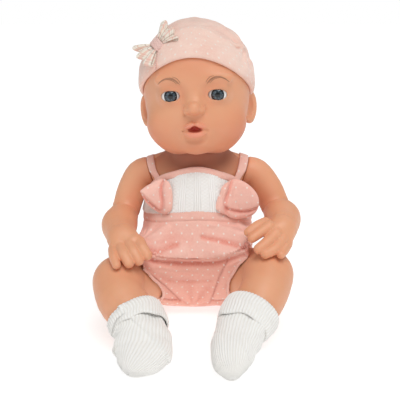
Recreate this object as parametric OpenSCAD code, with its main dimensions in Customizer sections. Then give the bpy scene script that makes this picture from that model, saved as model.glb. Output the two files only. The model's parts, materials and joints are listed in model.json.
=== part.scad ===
// Seated baby doll with a vinyl head and limbs, a hard two-shell torso that holds a press-button
// sound module, and cloth dress. Millimetres, +Z up, the doll faces -Y and sits on the plane Z = 0.
// "left" and "right" are the doll's own: its left is +X.

/* [Torso] */
// Width of the belly shells, side to side
belly_w = 86; // [84:1:88]
// Depth of the torso as a share of its width
torso_flat = 0.84; // [0.82:0.01:0.86]
// Wall of the torso shells
wall = 2; // [1.8:0.1:2.2]
// Width of the crotch between the two thighs
crotch_w = 44.4; // [42:0.2:44.8]

/* [Head] */
// Width of the skull under the cap
skull_w = 85; // [84:1:87]
// Wall of the vinyl head and limbs
vinyl = 2.6; // [2.4:0.1:3]
// Turn of the face towards the doll's right, in degrees
head_turn = 3; // [0:1:6]
// Lean of the head towards the doll's right, in degrees
head_lean = 2.4; // [0:0.2:4]
// Diameter of an inset eye
eye_d = 18; // [16:0.5:19]

/* [Clothes] */
// Thickness of the jersey
jersey = 1.4; // [1:0.1:1.6]
// Thickness of the knitted socks
sock_t = 1.2; // [1:0.1:1.4]

/* [Joints] */
// Downward tilt of the shoulder axes, in degrees
shoulder_tilt = 18; // [14:1:20]
// Radius of the pins that the arms turn on
arm_pin_r = 5; // [4:0.5:5.5]
// Radius of the pins that the legs turn on
leg_pin_r = 7; // [6:0.5:7.5]
// Radius of the pin that the head turns on
neck_pin_r = 7; // [6:0.5:7.5]
// Gap between parts that turn or slide on each other
gap = 0.4; // [0.3:0.05:0.5]

/* [Sound module] */
// Diameter of the belly button
button_d = 20; // [18:1:21]
// Travel of the belly button
button_travel = 2; // [1.5:0.5:2]
// Travel of the power switch
switch_travel = 3; // [2:0.5:3.5]
// Diameter of the speaker
speaker_d = 26; // [22:1:27]

/* [Hidden] */
$fn = 64;

body_y = 47.8;                       // the torso's axis, behind the middle of the whole doll
skin = [0.93, 0.72, 0.58];
pink = [0.95, 0.72, 0.70];
white = [0.96, 0.96, 0.94];
cream = [0.93, 0.89, 0.80];
plastic = [0.88, 0.86, 0.84];
metal = [0.75, 0.76, 0.78];

shoulder = [46, 2, 112];            // a point on the left shoulder's axis
arm_face = -8;                      // the arm's flat face, along that axis
arm_root_r = 12;
hip = [24, 2, 26];                  // middle of the left leg's flat face, on the hip axis
leg_bung_r = 15;                    // the bung that closes the thigh at the hip
bung_h = 2.4;
seat_z = 2;                         // underside of the torso shells
neck_z = 134;                       // top of the torso's neck
head_pivot = [0, 0, 137];
limb_sides = 16;

// ---------------------------------------------------------------- shared geometry

// Half width of the torso at its main heights: seat, hips, belly, chest, shoulders, neck.
torso_keys = [[2, 14], [5, 25], [12, 33], [30, 40], [55, 43], [80, 41], [100, 36], [114, 31],
              [124, 22], [130, 16], [134, 15]];
function torso_r(z) = lookup(z, torso_keys) * belly_w / 86;
// Depth of the surface in front of the axis, at x and z.
function torso_y(x, z, out = 0) = torso_flat * sqrt(max(0, pow(torso_r(z) + out, 2) - x * x));

// The torso's form, standing `out` proud of the shells, between two heights.
module torso_form(out = 0, z0 = seat_z, z1 = neck_z) {
    zs = concat([z0], [for (k = torso_keys) if (k[0] > z0 && k[0] < z1) k[0]], [z1]);
    scale([1, torso_flat, 1]) rotate_extrude()
        polygon(concat([[0, z0]], [for (z = zs) [torso_r(z) + out, z]], [[0, z1]]));
}

// The space that the thighs need, beside the crotch and under the belly.
module thigh_room(half_w, top = 51.5, rise = 20) {
    for (side = [-1, 1])
        translate([side > 0 ? half_w : -60 - half_w, 0, 0]) rotate([90, 0, 90])
            linear_extrude(60)
                polygon([[60, -5], [60, top], [-2, top], [-60, top + rise], [-60, -5]]);
}

module on_doll() translate([0, body_y, 0]) children();
module mirrored(side) mirror([side < 0 ? 1 : 0, 0, 0]) children();
// At a shoulder or a hip, local +Z runs outwards along the joint's axis.
module at_shoulder(side) mirrored(side) translate(shoulder) rotate([0, 90 + shoulder_tilt, 0])
    children();
module at_hip(side) mirrored(side) translate(hip) rotate([0, 90, 0]) children();
module at_head() translate(head_pivot) rotate([0, -head_lean, -head_turn])
    translate(-head_pivot) children();
// Along Y, with local +Z pointing to the front.
module facing_front(p) translate(p) rotate([90, 0, 0]) children();

function unit(v) = v / norm(v);
function ring_at(c, normal, ref, ru, rv, n) = let (u = unit(cross(ref, normal)), v = cross(normal, u))
    [for (i = [0 : n - 1]) c + ru * cos(360 * i / n) * u + rv * sin(360 * i / n) * v];

// A closed skin over rings of equal length: flat ends, or joined end to start as a loop.
module skin_over(rings, loop = false) {
    n = len(rings[0]);
    m = len(rings);
    function at(j, i) = (j % m) * n + i % n;
    sides = [for (j = [0 : m - (loop ? 1 : 2)], i = [0 : n - 1])
        each [[at(j, i), at(j + 1, i), at(j, i + 1)], [at(j + 1, i), at(j + 1, i + 1), at(j, i + 1)]]];
    ends = [[for (i = [0 : n - 1]) i], [for (i = [n - 1 : -1 : 0]) at(m - 1, i)]];
    polyhedron([for (r = rings) each r], loop ? sides : concat(sides, ends));
}

// A smooth curve through keys of any length, `steps` points to a stretch.
function curve_at(a, b, c, d, t) =
    0.5 * (2 * b + (c - a) * t + (2 * a - 5 * b + 4 * c - d) * t * t + (3 * b - a - 3 * c + d) * pow(t, 3));
function curve(keys, steps) = let (m = len(keys) - 1) concat(
    [for (i = [0 : m - 1], s = [0 : steps - 1])
        curve_at(keys[max(i - 1, 0)], keys[i], keys[i + 1], keys[min(i + 2, m)], s / steps)],
    [keys[m]]);

// Rings of a limb over keys [x, y, z, radius], `grow` mm outside it, and the rings that round its end.
function centre(k) = [k[0], k[1], k[2]];
function heading(path, i) =
    unit(centre(path[min(i + 1, len(path) - 1)]) - centre(path[max(i - 1, 0)]));
function limb_rings(path, axis, ref, grow = 0) =
    [for (i = [0 : len(path) - 1])
        ring_at(centre(path[i]), i == 0 ? axis : heading(path, i), ref, path[i][3] + grow,
                path[i][3] + grow, limb_sides)];
function end_rings(path, ref, grow = 0, way = 1) =
    let (i = len(path) - 1, t = heading(path, i), r = path[i][3] + grow)
    [for (a = [30, 55, 75, 87])
        ring_at(centre(path[i]) + t * r * sin(a), t * way, ref, r * cos(a), r * cos(a), limb_sides)];
function slice(list, from, to) = [for (i = [from : to]) list[i]];
function reversed(list) = [for (i = [len(list) - 1 : -1 : 0]) list[i]];

module ball(k) translate(centre(k)) sphere(k[3], $fn = 12);
module chain(keys) for (i = [0 : len(keys) - 2]) hull() { ball(keys[i]); ball(keys[i + 1]); }

// ---------------------------------------------------------------- torso

post_places = [[-33, 60], [33, 60], [-15, 102], [15, 102]];   // screw posts, as x and z
post_r = 3.8;
screw_r = 1.2;
screw_head_r = 2.2;
screw_seat = 12;                    // the screws' heads bear here, this far behind the joint of the shells
door = [34, 24];                    // battery door, width and height
door_z = 66;
door_y = 29.8;                      // inner face of the battery door
switch_z = 92;
knob_w = 7;                         // power switch
belly_z = 60;
speaker_z = 88;

module torso_solid() {
    difference() {
        torso_form();
        thigh_room(crotch_w / 2);
        for (side = [-1, 1]) at_shoulder(side)
            translate([0, 0, arm_face - gap]) cylinder(r = arm_root_r + 1, h = 20);
    }
    for (side = [-1, 1]) at_shoulder(side)
        translate([0, 0, -40]) cylinder(r = arm_root_r, h = 40 + arm_face - gap);
}

module torso_cavity() {
    difference() {
        torso_form(-wall, seat_z + wall, neck_z - wall);
        thigh_room(crotch_w / 2 - wall, 51.5 + wall);
    }
    for (side = [-1, 1]) at_shoulder(side)
        translate([0, 0, -38]) cylinder(r = arm_root_r - wall, h = 38 + arm_face - gap - wall);
}

module joint_holes() {
    for (side = [-1, 1]) {
        at_shoulder(side) translate([0, 0, arm_face - 8]) cylinder(r = arm_pin_r + gap, h = 12);
        at_hip(side) translate([0, 0, -6]) cylinder(r = leg_pin_r + gap, h = 8);
    }
    translate([0, 0, neck_z - 6]) cylinder(r = neck_pin_r + gap, h = 10);
}

module at_posts() for (p = post_places) translate([p[0], 0, p[1]]) rotate([-90, 0, 0]) children();

module torso_half(front) {
    difference() {
        intersection() {
            difference() {
                torso_solid();
                difference() {
                    torso_cavity();
                    at_posts() cylinder(r = post_r, h = 100, center = true);
                }
                joint_holes();
            }
            translate([-60, front ? -60 : 0, -1]) cube([120, 60, neck_z + 2]);
        }
        children();
    }
}

module torso_front_shell() color(skin) on_doll() {
    torso_half(true) {
        facing_front([0, 0, belly_z]) cylinder(r = button_d / 2 + gap, h = 50);
        for (ring = [[0, 1], [4, 6], [8, 10]], i = [0 : ring[1] - 1])
            facing_front([ring[0] * cos(360 * i / ring[1]), 0, speaker_z + ring[0] * sin(360 * i / ring[1])])
                cylinder(r = 0.8, h = 50);
        at_posts() translate([0, 0, -10]) cylinder(r = screw_r - 0.1, h = 20);
    }
}

module torso_back_shell() color(skin) on_doll() {
    torso_half(false) {
        translate([-door[0] / 2 - gap, door_y - 4, door_z - door[1] / 2 - gap])
            cube([door[0] + 2 * gap, 20, door[1] + 2 * gap]);
        translate([-(knob_w + switch_travel + gap) / 2, 20, switch_z - 2])
            cube([knob_w + switch_travel + gap, 30, 4]);
        at_posts() {
            translate([0, 0, -1]) cylinder(r = screw_r + 0.2, h = 20);
            translate([0, 0, screw_seat]) cylinder(r = screw_head_r + 0.3, h = 30);
        }
    }
}

// Four screws, head to the back, that join the shells through their posts.
module torso_screws() color(metal) on_doll()
    at_posts() {
        translate([0, 0, screw_seat]) cylinder(r = screw_head_r, h = 2);
        translate([0, 0, -9]) cylinder(r = screw_r - 0.1, h = screw_seat + 10);
    }

// A flanged pin: the flange turns inside the torso, and the bung fills the limb's open end.
module flanged_pin(pin_r, flange_r, from, bung_r) {
    translate([0, 0, from]) cylinder(r = flange_r, h = 1.8);
    translate([0, 0, from]) cylinder(r = pin_r, h = bung_h - from);
    cylinder(r = bung_r, h = bung_h);
}

module arm_plug(side) color(plastic) on_doll() at_shoulder(side) translate([0, 0, arm_face])
    flanged_pin(arm_pin_r, 7, -gap - wall - gap - 2, arm_root_r - vinyl - 0.7);
module leg_plug(side) color(plastic) on_doll() at_hip(side)
    flanged_pin(leg_pin_r, 10, crotch_w / 2 - wall - gap - 2 - hip[0], leg_bung_r);
module arm_plug_left() arm_plug(1);
module arm_plug_right() arm_plug(-1);
module leg_plug_left() leg_plug(1);
module leg_plug_right() leg_plug(-1);

// The neck's pin: one flange turns under the torso's neck, the other holds the head from inside.
module neck_plug() color(plastic) on_doll() {
    foot_z = neck_z - wall - gap - 2;
    head_flange_z = 147;
    translate([0, 0, foot_z]) cylinder(r = neck_pin_r + 2.5, h = 2);
    translate([0, 0, foot_z]) cylinder(r = neck_pin_r, h = head_flange_z + 1.6 - foot_z);
    translate([0, 0, neck_z + gap]) cylinder(r = 11, h = 0.8);
    translate([0, 0, head_flange_z]) cylinder(r = 13, h = 1.6);
}

// ---------------------------------------------------------------- sound module

housing = [40, 18.4, 40];           // outer size; open to the back behind the battery door
housing_y = 11;
cell_r = 5.8;
cell_h = 5.4;
cell_y = door_y - 6.5;
spring_r = 5;
button_front = -34.4;
button_back = -29;
seat_back = -20;

module sound_housing() color(plastic) on_doll() intersection() {
    torso_form(-wall - 0.3);
    translate([-housing[0] / 2, housing_y, door_z - 17]) difference() {
        cube(housing);
        translate([1.6, -1, 1.6]) cube([housing[0] - 3.2, 6, housing[2] - 3.2]);
        translate([3.5, 6, 5.5]) cube([housing[0] - 7, 20, 23]);
        translate([-1, 12, 33]) cube([housing[0] + 2, 10, 10]);
    }
}

module battery_door() color(skin) on_doll() difference() {
    translate([-door[0] / 2, door_y, door_z - door[1] / 2]) cube([door[0], 1.6, door[1]]);
    translate([0, door_y - 1, door_z + door[1] / 2 - 4]) rotate([-90, 0, 0]) cylinder(r = 1.3, h = 5);
}

module battery_door_screw() color(metal) on_doll()
    translate([0, door_y - 0.6, door_z + door[1] / 2 - 4]) rotate([-90, 0, 0]) {
        cylinder(r = 1.1, h = 2.2);
        translate([0, 0, 2.2]) cylinder(r = 2.1, h = 0.9);
    }

module battery_cells() color(metal) on_doll()
    for (i = [-1 : 1]) translate([i * (cell_h + 0.2) - cell_h / 2, cell_y, door_z - 5])
        rotate([0, 90, 0]) cylinder(r = cell_r, h = cell_h);

// A flat contact at each end of the cells.
module battery_contacts() color(metal) on_doll()
    for (side = [-1, 1]) translate([side * (1.5 * cell_h + 0.9) - 0.3, cell_y - 4, door_z - 9])
        cube([0.6, 8, 8]);

module circuit_board() color([0.2, 0.45, 0.3]) on_doll()
    translate([-16, housing_y + 1.2, door_z - 14]) {
        cube([32, 1.2, 32]);
        translate([6, -1.6, 6]) cube([7, 1.6, 7]);
        translate([20, -1.4, 18]) cube([4, 1.4, 6]);
    }

// The two leads from the board, one to the speaker and one to the button's seat.
module board_wires() color([0.7, 0.15, 0.15]) on_doll()
    for (route = [[[-8, 11, 76], [-8, 4, 80], [-7, -6, 85], [-6, -16, 88], [-5, -21.6, 89]],
                  [[8, 11, 64], [8, 4, 62], [7, -6, 61], [6, -14, 60.5], [5, -19.6, 60]]]) {
        path = curve([for (p = route) [p[0], p[1], p[2], 0.6]], 3);
        skin_over([for (i = [0 : len(path) - 1])
            ring_at(centre(path[i]), heading(path, i), [0, 0, 1], 0.6, 0.6, 8)]);
    }

module speaker() color([0.25, 0.25, 0.27]) on_doll() facing_front([0, -22, speaker_z]) {
    translate([0, 0, 3]) cylinder(r = speaker_d / 2, h = 2.4);
    cylinder(r = 7, h = 3);
}

module belly_button() color(plastic) on_doll() facing_front([0, button_back, belly_z]) {
    cylinder(r = button_d / 2, h = button_back - button_front);
    cylinder(r = button_d / 2 + 2, h = 1.4);
}

// The cup behind the button, with the switch that it presses.
module button_seat() color(plastic) on_doll() facing_front([0, seat_back, belly_z]) {
    difference() {
        cylinder(r = button_d / 2 + 4, h = 5.6);
        translate([0, 0, 1.4]) cylinder(r = button_d / 2 + 2.6, h = 10);
    }
    translate([0, 0, 1.4]) cylinder(r = 2.4, h = 4);
}

module button_spring() color(metal) on_doll() facing_front([0, seat_back - 1.5, belly_z])
    difference() {
        cylinder(r = spring_r + 0.4, h = seat_back - 1.5 - button_back - 0.1);
        translate([0, 0, -1]) cylinder(r = spring_r - 0.4, h = 20);
    }

module power_switch() color([0.2, 0.2, 0.22]) on_doll() translate([-knob_w / 2, 27, switch_z - 1.6]) {
    cube([knob_w, 4.2, 3.2]);
    translate([-2, 0, -1.5]) cube([knob_w + 4, 1.5, 6.2]);
}

// ---------------------------------------------------------------- head

head_x = 1.5;                       // the head is this far to the left of the neck's axis
skull = [skull_w / 2, 45, 45.5];
skull_c = [head_x, 0, 189];
jaw = [38, 35, 31];
jaw_c = [head_x, -10, 167];
head_o = [head_x, -2, 176];              // the rays that shape the head start here
nose_dir = [0, -54, -3];
eye_place = [17.5, -33.5, 181];
ears = [[44, 3, 162], [45, 6, 172]];    // the low and the high half of the left ear
head_sides = 40;

function ray(lon, lat) = [sin(lon) * cos(lat), -cos(lon) * cos(lat), sin(lat)];   // lon 0 is the face
function to_ellipsoid(d, c, s) = let (
        o = [for (i = [0 : 2]) (head_o[i] - c[i]) / s[i]],
        e = [for (i = [0 : 2]) d[i] / s[i]],
        h = o * e)
    (sqrt(max(0, h * h - e * e * (o * o - 1))) - h) / (e * e);
function bump(d, toward, width, height) =
    height * exp(-pow(acos(min(1, d * unit(toward))) / width, 2));
function head_r(d) =
    pow(pow(to_ellipsoid(d, skull_c, skull), 12) + pow(max(1, to_ellipsoid(d, jaw_c, jaw)), 12), 1 / 12) - 1
    + bump(d, nose_dir, 8, 7.5) + bump(d, [0, -45, -22], 12, 2.5)
    + max([for (p = ears) bump([abs(d[0]), d[1], d[2]], p - head_o, 8, 5.5)]);
function head_point(lon, lat, out = 0) = head_o + (head_r(ray(lon, lat)) + out) * ray(lon, lat);
function head_ring(lat, out) =
    [for (i = [0 : head_sides - 1]) head_point(360 * i / head_sides, lat, out)];

// A layer of the head between two offsets, from the crown down to the first of its latitudes.
module head_layer(lats, outside, inside) skin_over(concat(
    reversed([for (a = lats) head_ring(a, inside)]), [for (a = lats) head_ring(a, outside)]));

head_lats = [-73, -60, -50, -41, -33, -25, -18, -11, -5, 1, 8, 16, 26, 38, 52, 68, 87];

module head_shell() color(skin) on_doll() at_head() difference() {
    head_layer(head_lats, 0, -vinyl);
    for (side = [-1, 1]) translate([head_x + side * eye_place[0], eye_place[1], eye_place[2]])
        sphere(d = eye_d + 0.6, $fn = 32);
}

module inset_eye(side) color([0.45, 0.5, 0.55]) on_doll() at_head()
    translate([head_x + side * eye_place[0], eye_place[1], eye_place[2]]) sphere(d = eye_d);
module eye_left() inset_eye(1);
module eye_right() inset_eye(-1);

// The cap's edge runs high over the brow, down past the ears and low at the nape.
cap_t = 1.4;
band_t = 1.2;
cap_gap = 0.6;
function cap_edge(lon) = 11 + 25 * cos(lon) + 4 * cos(2 * lon) - 2 * sin(lon);
function band_edge(lon) = cap_edge(lon) + 22 + 6 * cos(lon);
cap_steps = [for (i = [0 : 9]) i / 9];
function band_ring(f, out, to) =
    [for (i = [0 : head_sides - 1]) let (lon = 360 * i / head_sides, from = cap_edge(lon))
        head_point(lon, from + f * (to == undef ? band_edge(lon) - from : to - from), out)];

module cap() color(pink) on_doll() at_head() skin_over(concat(
    reversed([for (f = cap_steps) band_ring(f, cap_gap, 88)]),
    [for (f = cap_steps) band_ring(f, cap_gap + cap_t, 88)]));

// The wide band that is sewn round the cap.
module cap_brim() color(pink) on_doll() at_head() {
    inner = cap_gap + cap_t + 0.6;
    steps = [0, 0.3, 0.6, 0.9, 1];
    skin_over(concat([for (f = steps) band_ring(f, inner + band_t * (f == 1 ? 0.5 : 1), undef)],
        reversed([for (f = steps) band_ring(f, inner, undef)])), loop = true);
}

bow_c = [-34, -20, 222];
// The bow lies flat on the cap, its loops along local X.
module at_bow() translate(bow_c) rotate([0, 0, -58]) rotate([58, 0, 0]) rotate([0, 0, 48]) children();
module bow_loops() color(cream) on_doll() at_bow() for (side = [-1, 1]) hull() {
    translate([side * 6.4, 0, 0]) cylinder(r = 2.4, h = 2.6, $fn = 24);
    translate([side * 15, -8, 0.6]) sphere(r = 2.2, $fn = 16);
    translate([side * 16.5, 0, 2.6]) sphere(r = 2.4, $fn = 16);
    translate([side * 15, 8, 0.6]) sphere(r = 2.2, $fn = 16);
}
module bow_knot() color(pink) on_doll() at_bow() hull() {
    translate([0, -3.6, 0.8]) sphere(r = 3.4, $fn = 20);
    translate([0, 3.6, 0.8]) sphere(r = 3.4, $fn = 20);
}

// ---------------------------------------------------------------- arms and legs

limb_ref_arm = [-0.27, 0.3, -0.9];
limb_ref_leg = [0, 0, 1];

// Keys are [x, y, z, radius] for the left side; the two arms are posed a little differently.
arm_keys_left = [[38.4, 2, 114.5, 12], [48, 2, 113, 12.8], [57.5, -1, 100, 12.4], [64, -8, 87, 11.8],
                 [68, -26, 81.5, 12.8], [67, -40, 80.5, 12], [64.5, -48, 80, 10]];
arm_keys_right = [[38.4, 2, 114.5, 12], [47, 2, 111, 12.5], [54.5, -1, 98, 12], [59, -8, 84, 11.5],
                  [62.5, -26, 76, 12.8], [60, -40, 74, 12], [57, -49, 73, 10]];
hand_left = [
    [[64.5, -48, 80, 9], [58, -54, 79.5, 7]], [[66, -49, 78, 8.5], [66.5, -56, 72.5, 6]],
    [[54, -56, 84, 5], [47, -61, 81, 4.4], [41, -65, 78, 4]],
    [[59, -59, 79.5, 5.2], [52, -66, 75, 4.5], [45.5, -71, 71.5, 4.2]],
    [[64, -59, 75, 5], [58, -68, 70.5, 4.5], [50.5, -72, 68, 4.1]],
    [[68, -58, 71, 4.5], [62, -72, 67.5, 3.6]],
    [[52, -50, 85, 5], [45, -55, 84, 4.3], [38.5, -59, 80.5, 3.8]]];
hand_right = [
    [[57, -49, 73, 9], [48, -57, 72, 7]], [[60, -50, 71, 8.5], [61, -57, 69, 6]],
    [[44, -59, 72.5, 5.2], [37.5, -68, 66, 4.4]], [[50.5, -61, 71, 5.2], [43.5, -72, 63, 4.4]],
    [[57.5, -61, 69, 5], [50.5, -75, 62, 4.3]], [[63.5, -60, 67, 4.5], [59.5, -77, 61, 3.6]],
    [[48, -52, 68, 5], [40, -58, 65, 4.2]]];
leg_keys_left = [[28, -1, 27, 22], [32, -12, 30, 22], [39, -28, 36, 21], [50, -48, 44, 19.5],
                 [54, -60, 46, 19], [50, -76, 40, 18.5], [42, -89, 31.5, 17.5], [34, -99, 25, 16],
                 [27, -113, 17.5, 14], [24, -128, 13.6, 12]];
leg_keys_right = [[28, -1, 27, 22], [33, -12, 29.5, 22], [43, -28, 34, 21], [57, -50, 40, 19.5],
                  [60.5, -62, 41, 19], [57, -78, 35.5, 18.5], [48, -90, 28.5, 17.5], [41, -99, 22.5, 16],
                  [37, -111, 17, 14.5], [36, -121, 13.6, 12]];
shoulder_axis = [cos(shoulder_tilt), 0, -sin(shoulder_tilt)];
arm_steps = 2;
leg_steps = 2;

module arm(side, keys, hand) color(skin) on_doll() mirrored(side) {
    path = curve(keys, arm_steps);
    difference() {
        union() {
            skin_over(concat(limb_rings(path, shoulder_axis, limb_ref_arm),
                             end_rings(path, limb_ref_arm)));
            for (finger = hand) chain(finger);
        }
        hollow = slice(path, 0, len(path) - 3);
        r = path[0][3] - vinyl;
        skin_over(concat([ring_at(centre(path[0]) - shoulder_axis, shoulder_axis, limb_ref_arm, r, r, limb_sides)],
                         limb_rings(hollow, shoulder_axis, limb_ref_arm, -vinyl)));
    }
}
module arm_left() arm(1, arm_keys_left, hand_left);
module arm_right() arm(-1, arm_keys_right, hand_right);

// A leg is a tube that is round at both ends, and flat where it lies against the torso.
module leg_form(path, grow) difference() {
    skin_over(concat(reversed(end_rings(reversed(path), limb_ref_leg, grow, -1)),
                     limb_rings(path, heading(path, 0), limb_ref_leg, grow),
                     end_rings(path, limb_ref_leg, grow)));
    translate([-grow, 0, -10]) linear_extrude(100)
        polygon([[-60, 60], [hip[0], 60], [hip[0], -30], [17, -46], [-60, -46]]);
}
module leg(side, keys) color(skin) on_doll() mirrored(side) {
    path = curve(keys, leg_steps);
    difference() {
        leg_form(path, 0);
        leg_form(slice(path, 0, len(path) - 3), -vinyl);
        translate(hip) rotate([0, 90, 0]) translate([0, 0, -1]) cylinder(r = leg_bung_r + 0.2, h = 5);
    }
}
module leg_left() leg(1, leg_keys_left);
module leg_right() leg(-1, leg_keys_right);

// ---------------------------------------------------------------- socks

ankle = 13;                         // the ring of the leg's path where a sock's cuff ends
sock_gap = 0.3;
cuff_t = 2.4;

module sock(side, keys) color(white) on_doll() mirrored(side) {
    path = curve(keys, leg_steps);
    foot = slice(path, ankle, len(path) - 1);
    axis = heading(path, ankle);
    outer = sock_gap + sock_t;
    skin_over(concat(
        reversed(concat(limb_rings(foot, axis, limb_ref_leg, sock_gap), end_rings(foot, limb_ref_leg, sock_gap))),
        limb_rings(foot, axis, limb_ref_leg, outer), end_rings(foot, limb_ref_leg, outer)));
}
module sock_left() sock(1, leg_keys_left);
module sock_right() sock(-1, leg_keys_right);

// The cuff is the sock's top, folded down over itself.
module sock_cuff(side, keys) color(white) on_doll() mirrored(side) {
    path = curve(keys, leg_steps);
    top = slice(path, ankle - 1, ankle + 2);
    inner = sock_gap + sock_t + 0.1;
    axis = heading(path, ankle - 1);
    skin_over(concat(limb_rings(top, axis, limb_ref_leg, inner + cuff_t),
                     reversed(limb_rings(top, axis, limb_ref_leg, inner))), loop = true);
}
module sock_cuff_left() sock_cuff(1, leg_keys_left);
module sock_cuff_right() sock_cuff(-1, leg_keys_right);

// ---------------------------------------------------------------- dress

top_out = 0.3;                      // the bodice lies this far off the shells
romper_out = 1.2;
neckline_z = 112;
waist_z = 90;

// Room for the shoulders and the straps in everything worn round the chest.
module shoulder_room(r) for (side = [-1, 1]) at_shoulder(side)
    translate([0, 0, -34]) cylinder(r = r, h = 54);

module bodice() color(white) on_doll() difference() {
    torso_form(top_out + 0.8, 64, neckline_z);
    torso_form(top_out, 60, neckline_z + 4);
    shoulder_room(arm_root_r + 2.2);
}

module romper_body() color(pink) on_doll() difference() {
    torso_form(romper_out + jersey, -1, waist_z);
    torso_form(romper_out, seat_z - 0.3, waist_z + 1);
    thigh_room(crotch_w / 2);
    translate([-100, -100, -20]) cube([200, 200, 20]);      // the flat seat
}

// A band round the torso over a range of heights.
module torso_band(out, thick, z0, z1) difference() {
    torso_form(out + thick, z0, z1);
    torso_form(out, z0 - 1, z1 + 1);
}

module waistband() color(pink) on_doll() intersection() {
    torso_band(romper_out + jersey + 0.05, 1, waist_z - 6, waist_z);
    translate([-60, -60, 0]) cube([120, 60, 200]);
}

module neckline_binding() color(pink) on_doll() difference() {
    torso_band(top_out + 0.9, 1.2, neckline_z - 5, neckline_z);
    shoulder_room(arm_root_r + 2.2);
}

// A strap goes over the shoulder from the front of the neckline to the back.
module strap(side) color(pink) on_doll() at_shoulder(side) translate([0, 0, arm_face - gap - 7.4])
    rotate([0, 0, 80]) rotate_extrude(angle = 200)
        translate([arm_root_r + 0.15, 0]) square([1.2, 7]);
module strap_left() strap(1);
module strap_right() strap(-1);

// Padded flaps in the shape of little ears, sewn to the waistband.
module ear_flap(keys) color(pink) on_doll() hull() for (k = keys) ball(k);
module ear_flap_left() ear_flap([[31, -38, 88, 1.6], [36, -38.5, 89, 1.8], [31, -34, 108, 2], [42, -32, 104, 2],
                                 [47, -32, 95, 1.8]]);
module ear_flap_right() ear_flap([[-28, -38.5, 90, 1.6], [-34, -38, 90, 1.8], [-26, -33, 112, 2],
                                  [-38, -30, 108, 2], [-44, -29, 103, 1.8]]);

// The hem of a leg opening: up the crotch, out under the belly, and back behind.
hem_r = 1;
function hem_side(sign) = [for (z = [13 : 5 : 48])
    [crotch_w / 2 - 1.5, sign * (torso_y(crotch_w / 2 - 1.5, z, romper_out + jersey) + hem_r + 0.3), z]];
module leg_binding(side) color(pink) on_doll() mirrored(side) for (sign = [-1, 1]) {
    path = hem_side(sign);
    skin_over([for (i = [0 : len(path) - 1])
        ring_at(path[i], unit(path[min(i + 1, len(path) - 1)] - path[max(i - 1, 0)]), [1, 0, 0],
                hem_r, hem_r, 8)]);
}
module leg_binding_left() leg_binding(1);
module leg_binding_right() leg_binding(-1);

snap_z = 12;
module snap_fasteners() color(metal) on_doll() for (i = [-1 : 1])
    translate([i * 9, -torso_y(i * 9, snap_z, romper_out + jersey) - 0.35, snap_z])
        rotate([118, 0, 12 * i]) cylinder(r = 3, h = 1.2);

torso_front_shell();
torso_back_shell();
torso_screws();
neck_plug();
arm_plug_left();
arm_plug_right();
leg_plug_left();
leg_plug_right();
sound_housing();
battery_door();
battery_door_screw();
battery_cells();
battery_contacts();
circuit_board();
board_wires();
speaker();
belly_button();
button_seat();
button_spring();
power_switch();
head_shell();
eye_left();
eye_right();
cap();
cap_brim();
bow_loops();
bow_knot();
arm_left();
arm_right();
leg_left();
leg_right();
bodice();
romper_body();
waistband();
neckline_binding();
strap_left();
strap_right();
ear_flap_left();
ear_flap_right();
leg_binding_left();
leg_binding_right();
snap_fasteners();
sock_left();
sock_right();
sock_cuff_left();
sock_cuff_right();
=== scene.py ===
"""A seated baby doll: head, arms and legs are sculpted as distance fields, clothes are thin sewn sheets.

Shapes are written in millimetres in the torso's own frame: its origin is under the neck joint, the doll faces
-Y and its left is at +X. piece() moves them into the row frame."""
import json
import math
from collections import namedtuple

import bpy
import numpy as np
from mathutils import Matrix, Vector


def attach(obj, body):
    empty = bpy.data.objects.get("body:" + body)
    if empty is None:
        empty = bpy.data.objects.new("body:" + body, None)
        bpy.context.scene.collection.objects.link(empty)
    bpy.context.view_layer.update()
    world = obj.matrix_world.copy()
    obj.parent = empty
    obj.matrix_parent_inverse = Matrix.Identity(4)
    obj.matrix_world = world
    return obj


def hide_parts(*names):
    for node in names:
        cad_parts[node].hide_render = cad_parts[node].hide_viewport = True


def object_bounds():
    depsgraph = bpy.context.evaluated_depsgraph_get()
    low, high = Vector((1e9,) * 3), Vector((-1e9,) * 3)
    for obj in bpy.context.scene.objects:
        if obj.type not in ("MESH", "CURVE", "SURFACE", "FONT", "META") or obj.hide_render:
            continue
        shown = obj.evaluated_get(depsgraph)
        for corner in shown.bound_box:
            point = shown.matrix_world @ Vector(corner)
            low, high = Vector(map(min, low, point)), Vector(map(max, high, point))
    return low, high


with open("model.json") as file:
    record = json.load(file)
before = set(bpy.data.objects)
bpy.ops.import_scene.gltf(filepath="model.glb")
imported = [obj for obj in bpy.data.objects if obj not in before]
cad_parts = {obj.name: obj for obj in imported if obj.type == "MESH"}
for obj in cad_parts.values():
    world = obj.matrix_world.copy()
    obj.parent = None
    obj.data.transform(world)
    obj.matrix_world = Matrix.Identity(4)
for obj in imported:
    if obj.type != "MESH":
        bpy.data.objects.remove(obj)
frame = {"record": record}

import openvdb
from mathutils import Euler, Vector

CAD_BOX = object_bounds()
JOINTS = {j["name"]: j for j in frame["record"]["behaviour"]["joints"]}
ORIGIN = np.array([JOINTS["neck_turn"]["pos_m"][0], JOINTS["neck_turn"]["pos_m"][1], 0.0])
PIVOT = np.array([0, 0, 1000 * JOINTS["neck_turn"]["pos_m"][2]])
SHOULDER = np.array([46.0, 2.0, 112.0])
SHOULDER_TILT = math.radians(18)
FAR = 9.0                           # distances are kept no further from the surface than this
BESIDE = 3                          # a shape is worked out this far beyond its own box


# ---------------------------------------------------------------- vectors and curves

def unit(v):
    v = np.asarray(v, float)
    return v / np.maximum(np.linalg.norm(v, axis=-1, keepdims=True), 1e-9)


def turned(points, degrees, about=(0, 0, 0)):
    """Points turned by XYZ Euler angles about a point."""
    m = np.array(Euler([math.radians(a) for a in degrees]).to_matrix())
    return (np.asarray(points) - about) @ m.T + about


def on_head(points):
    """From the upright head to the head as it is turned and leant."""
    return turned(points, (0, -2.4, -3.0), PIVOT)


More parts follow.
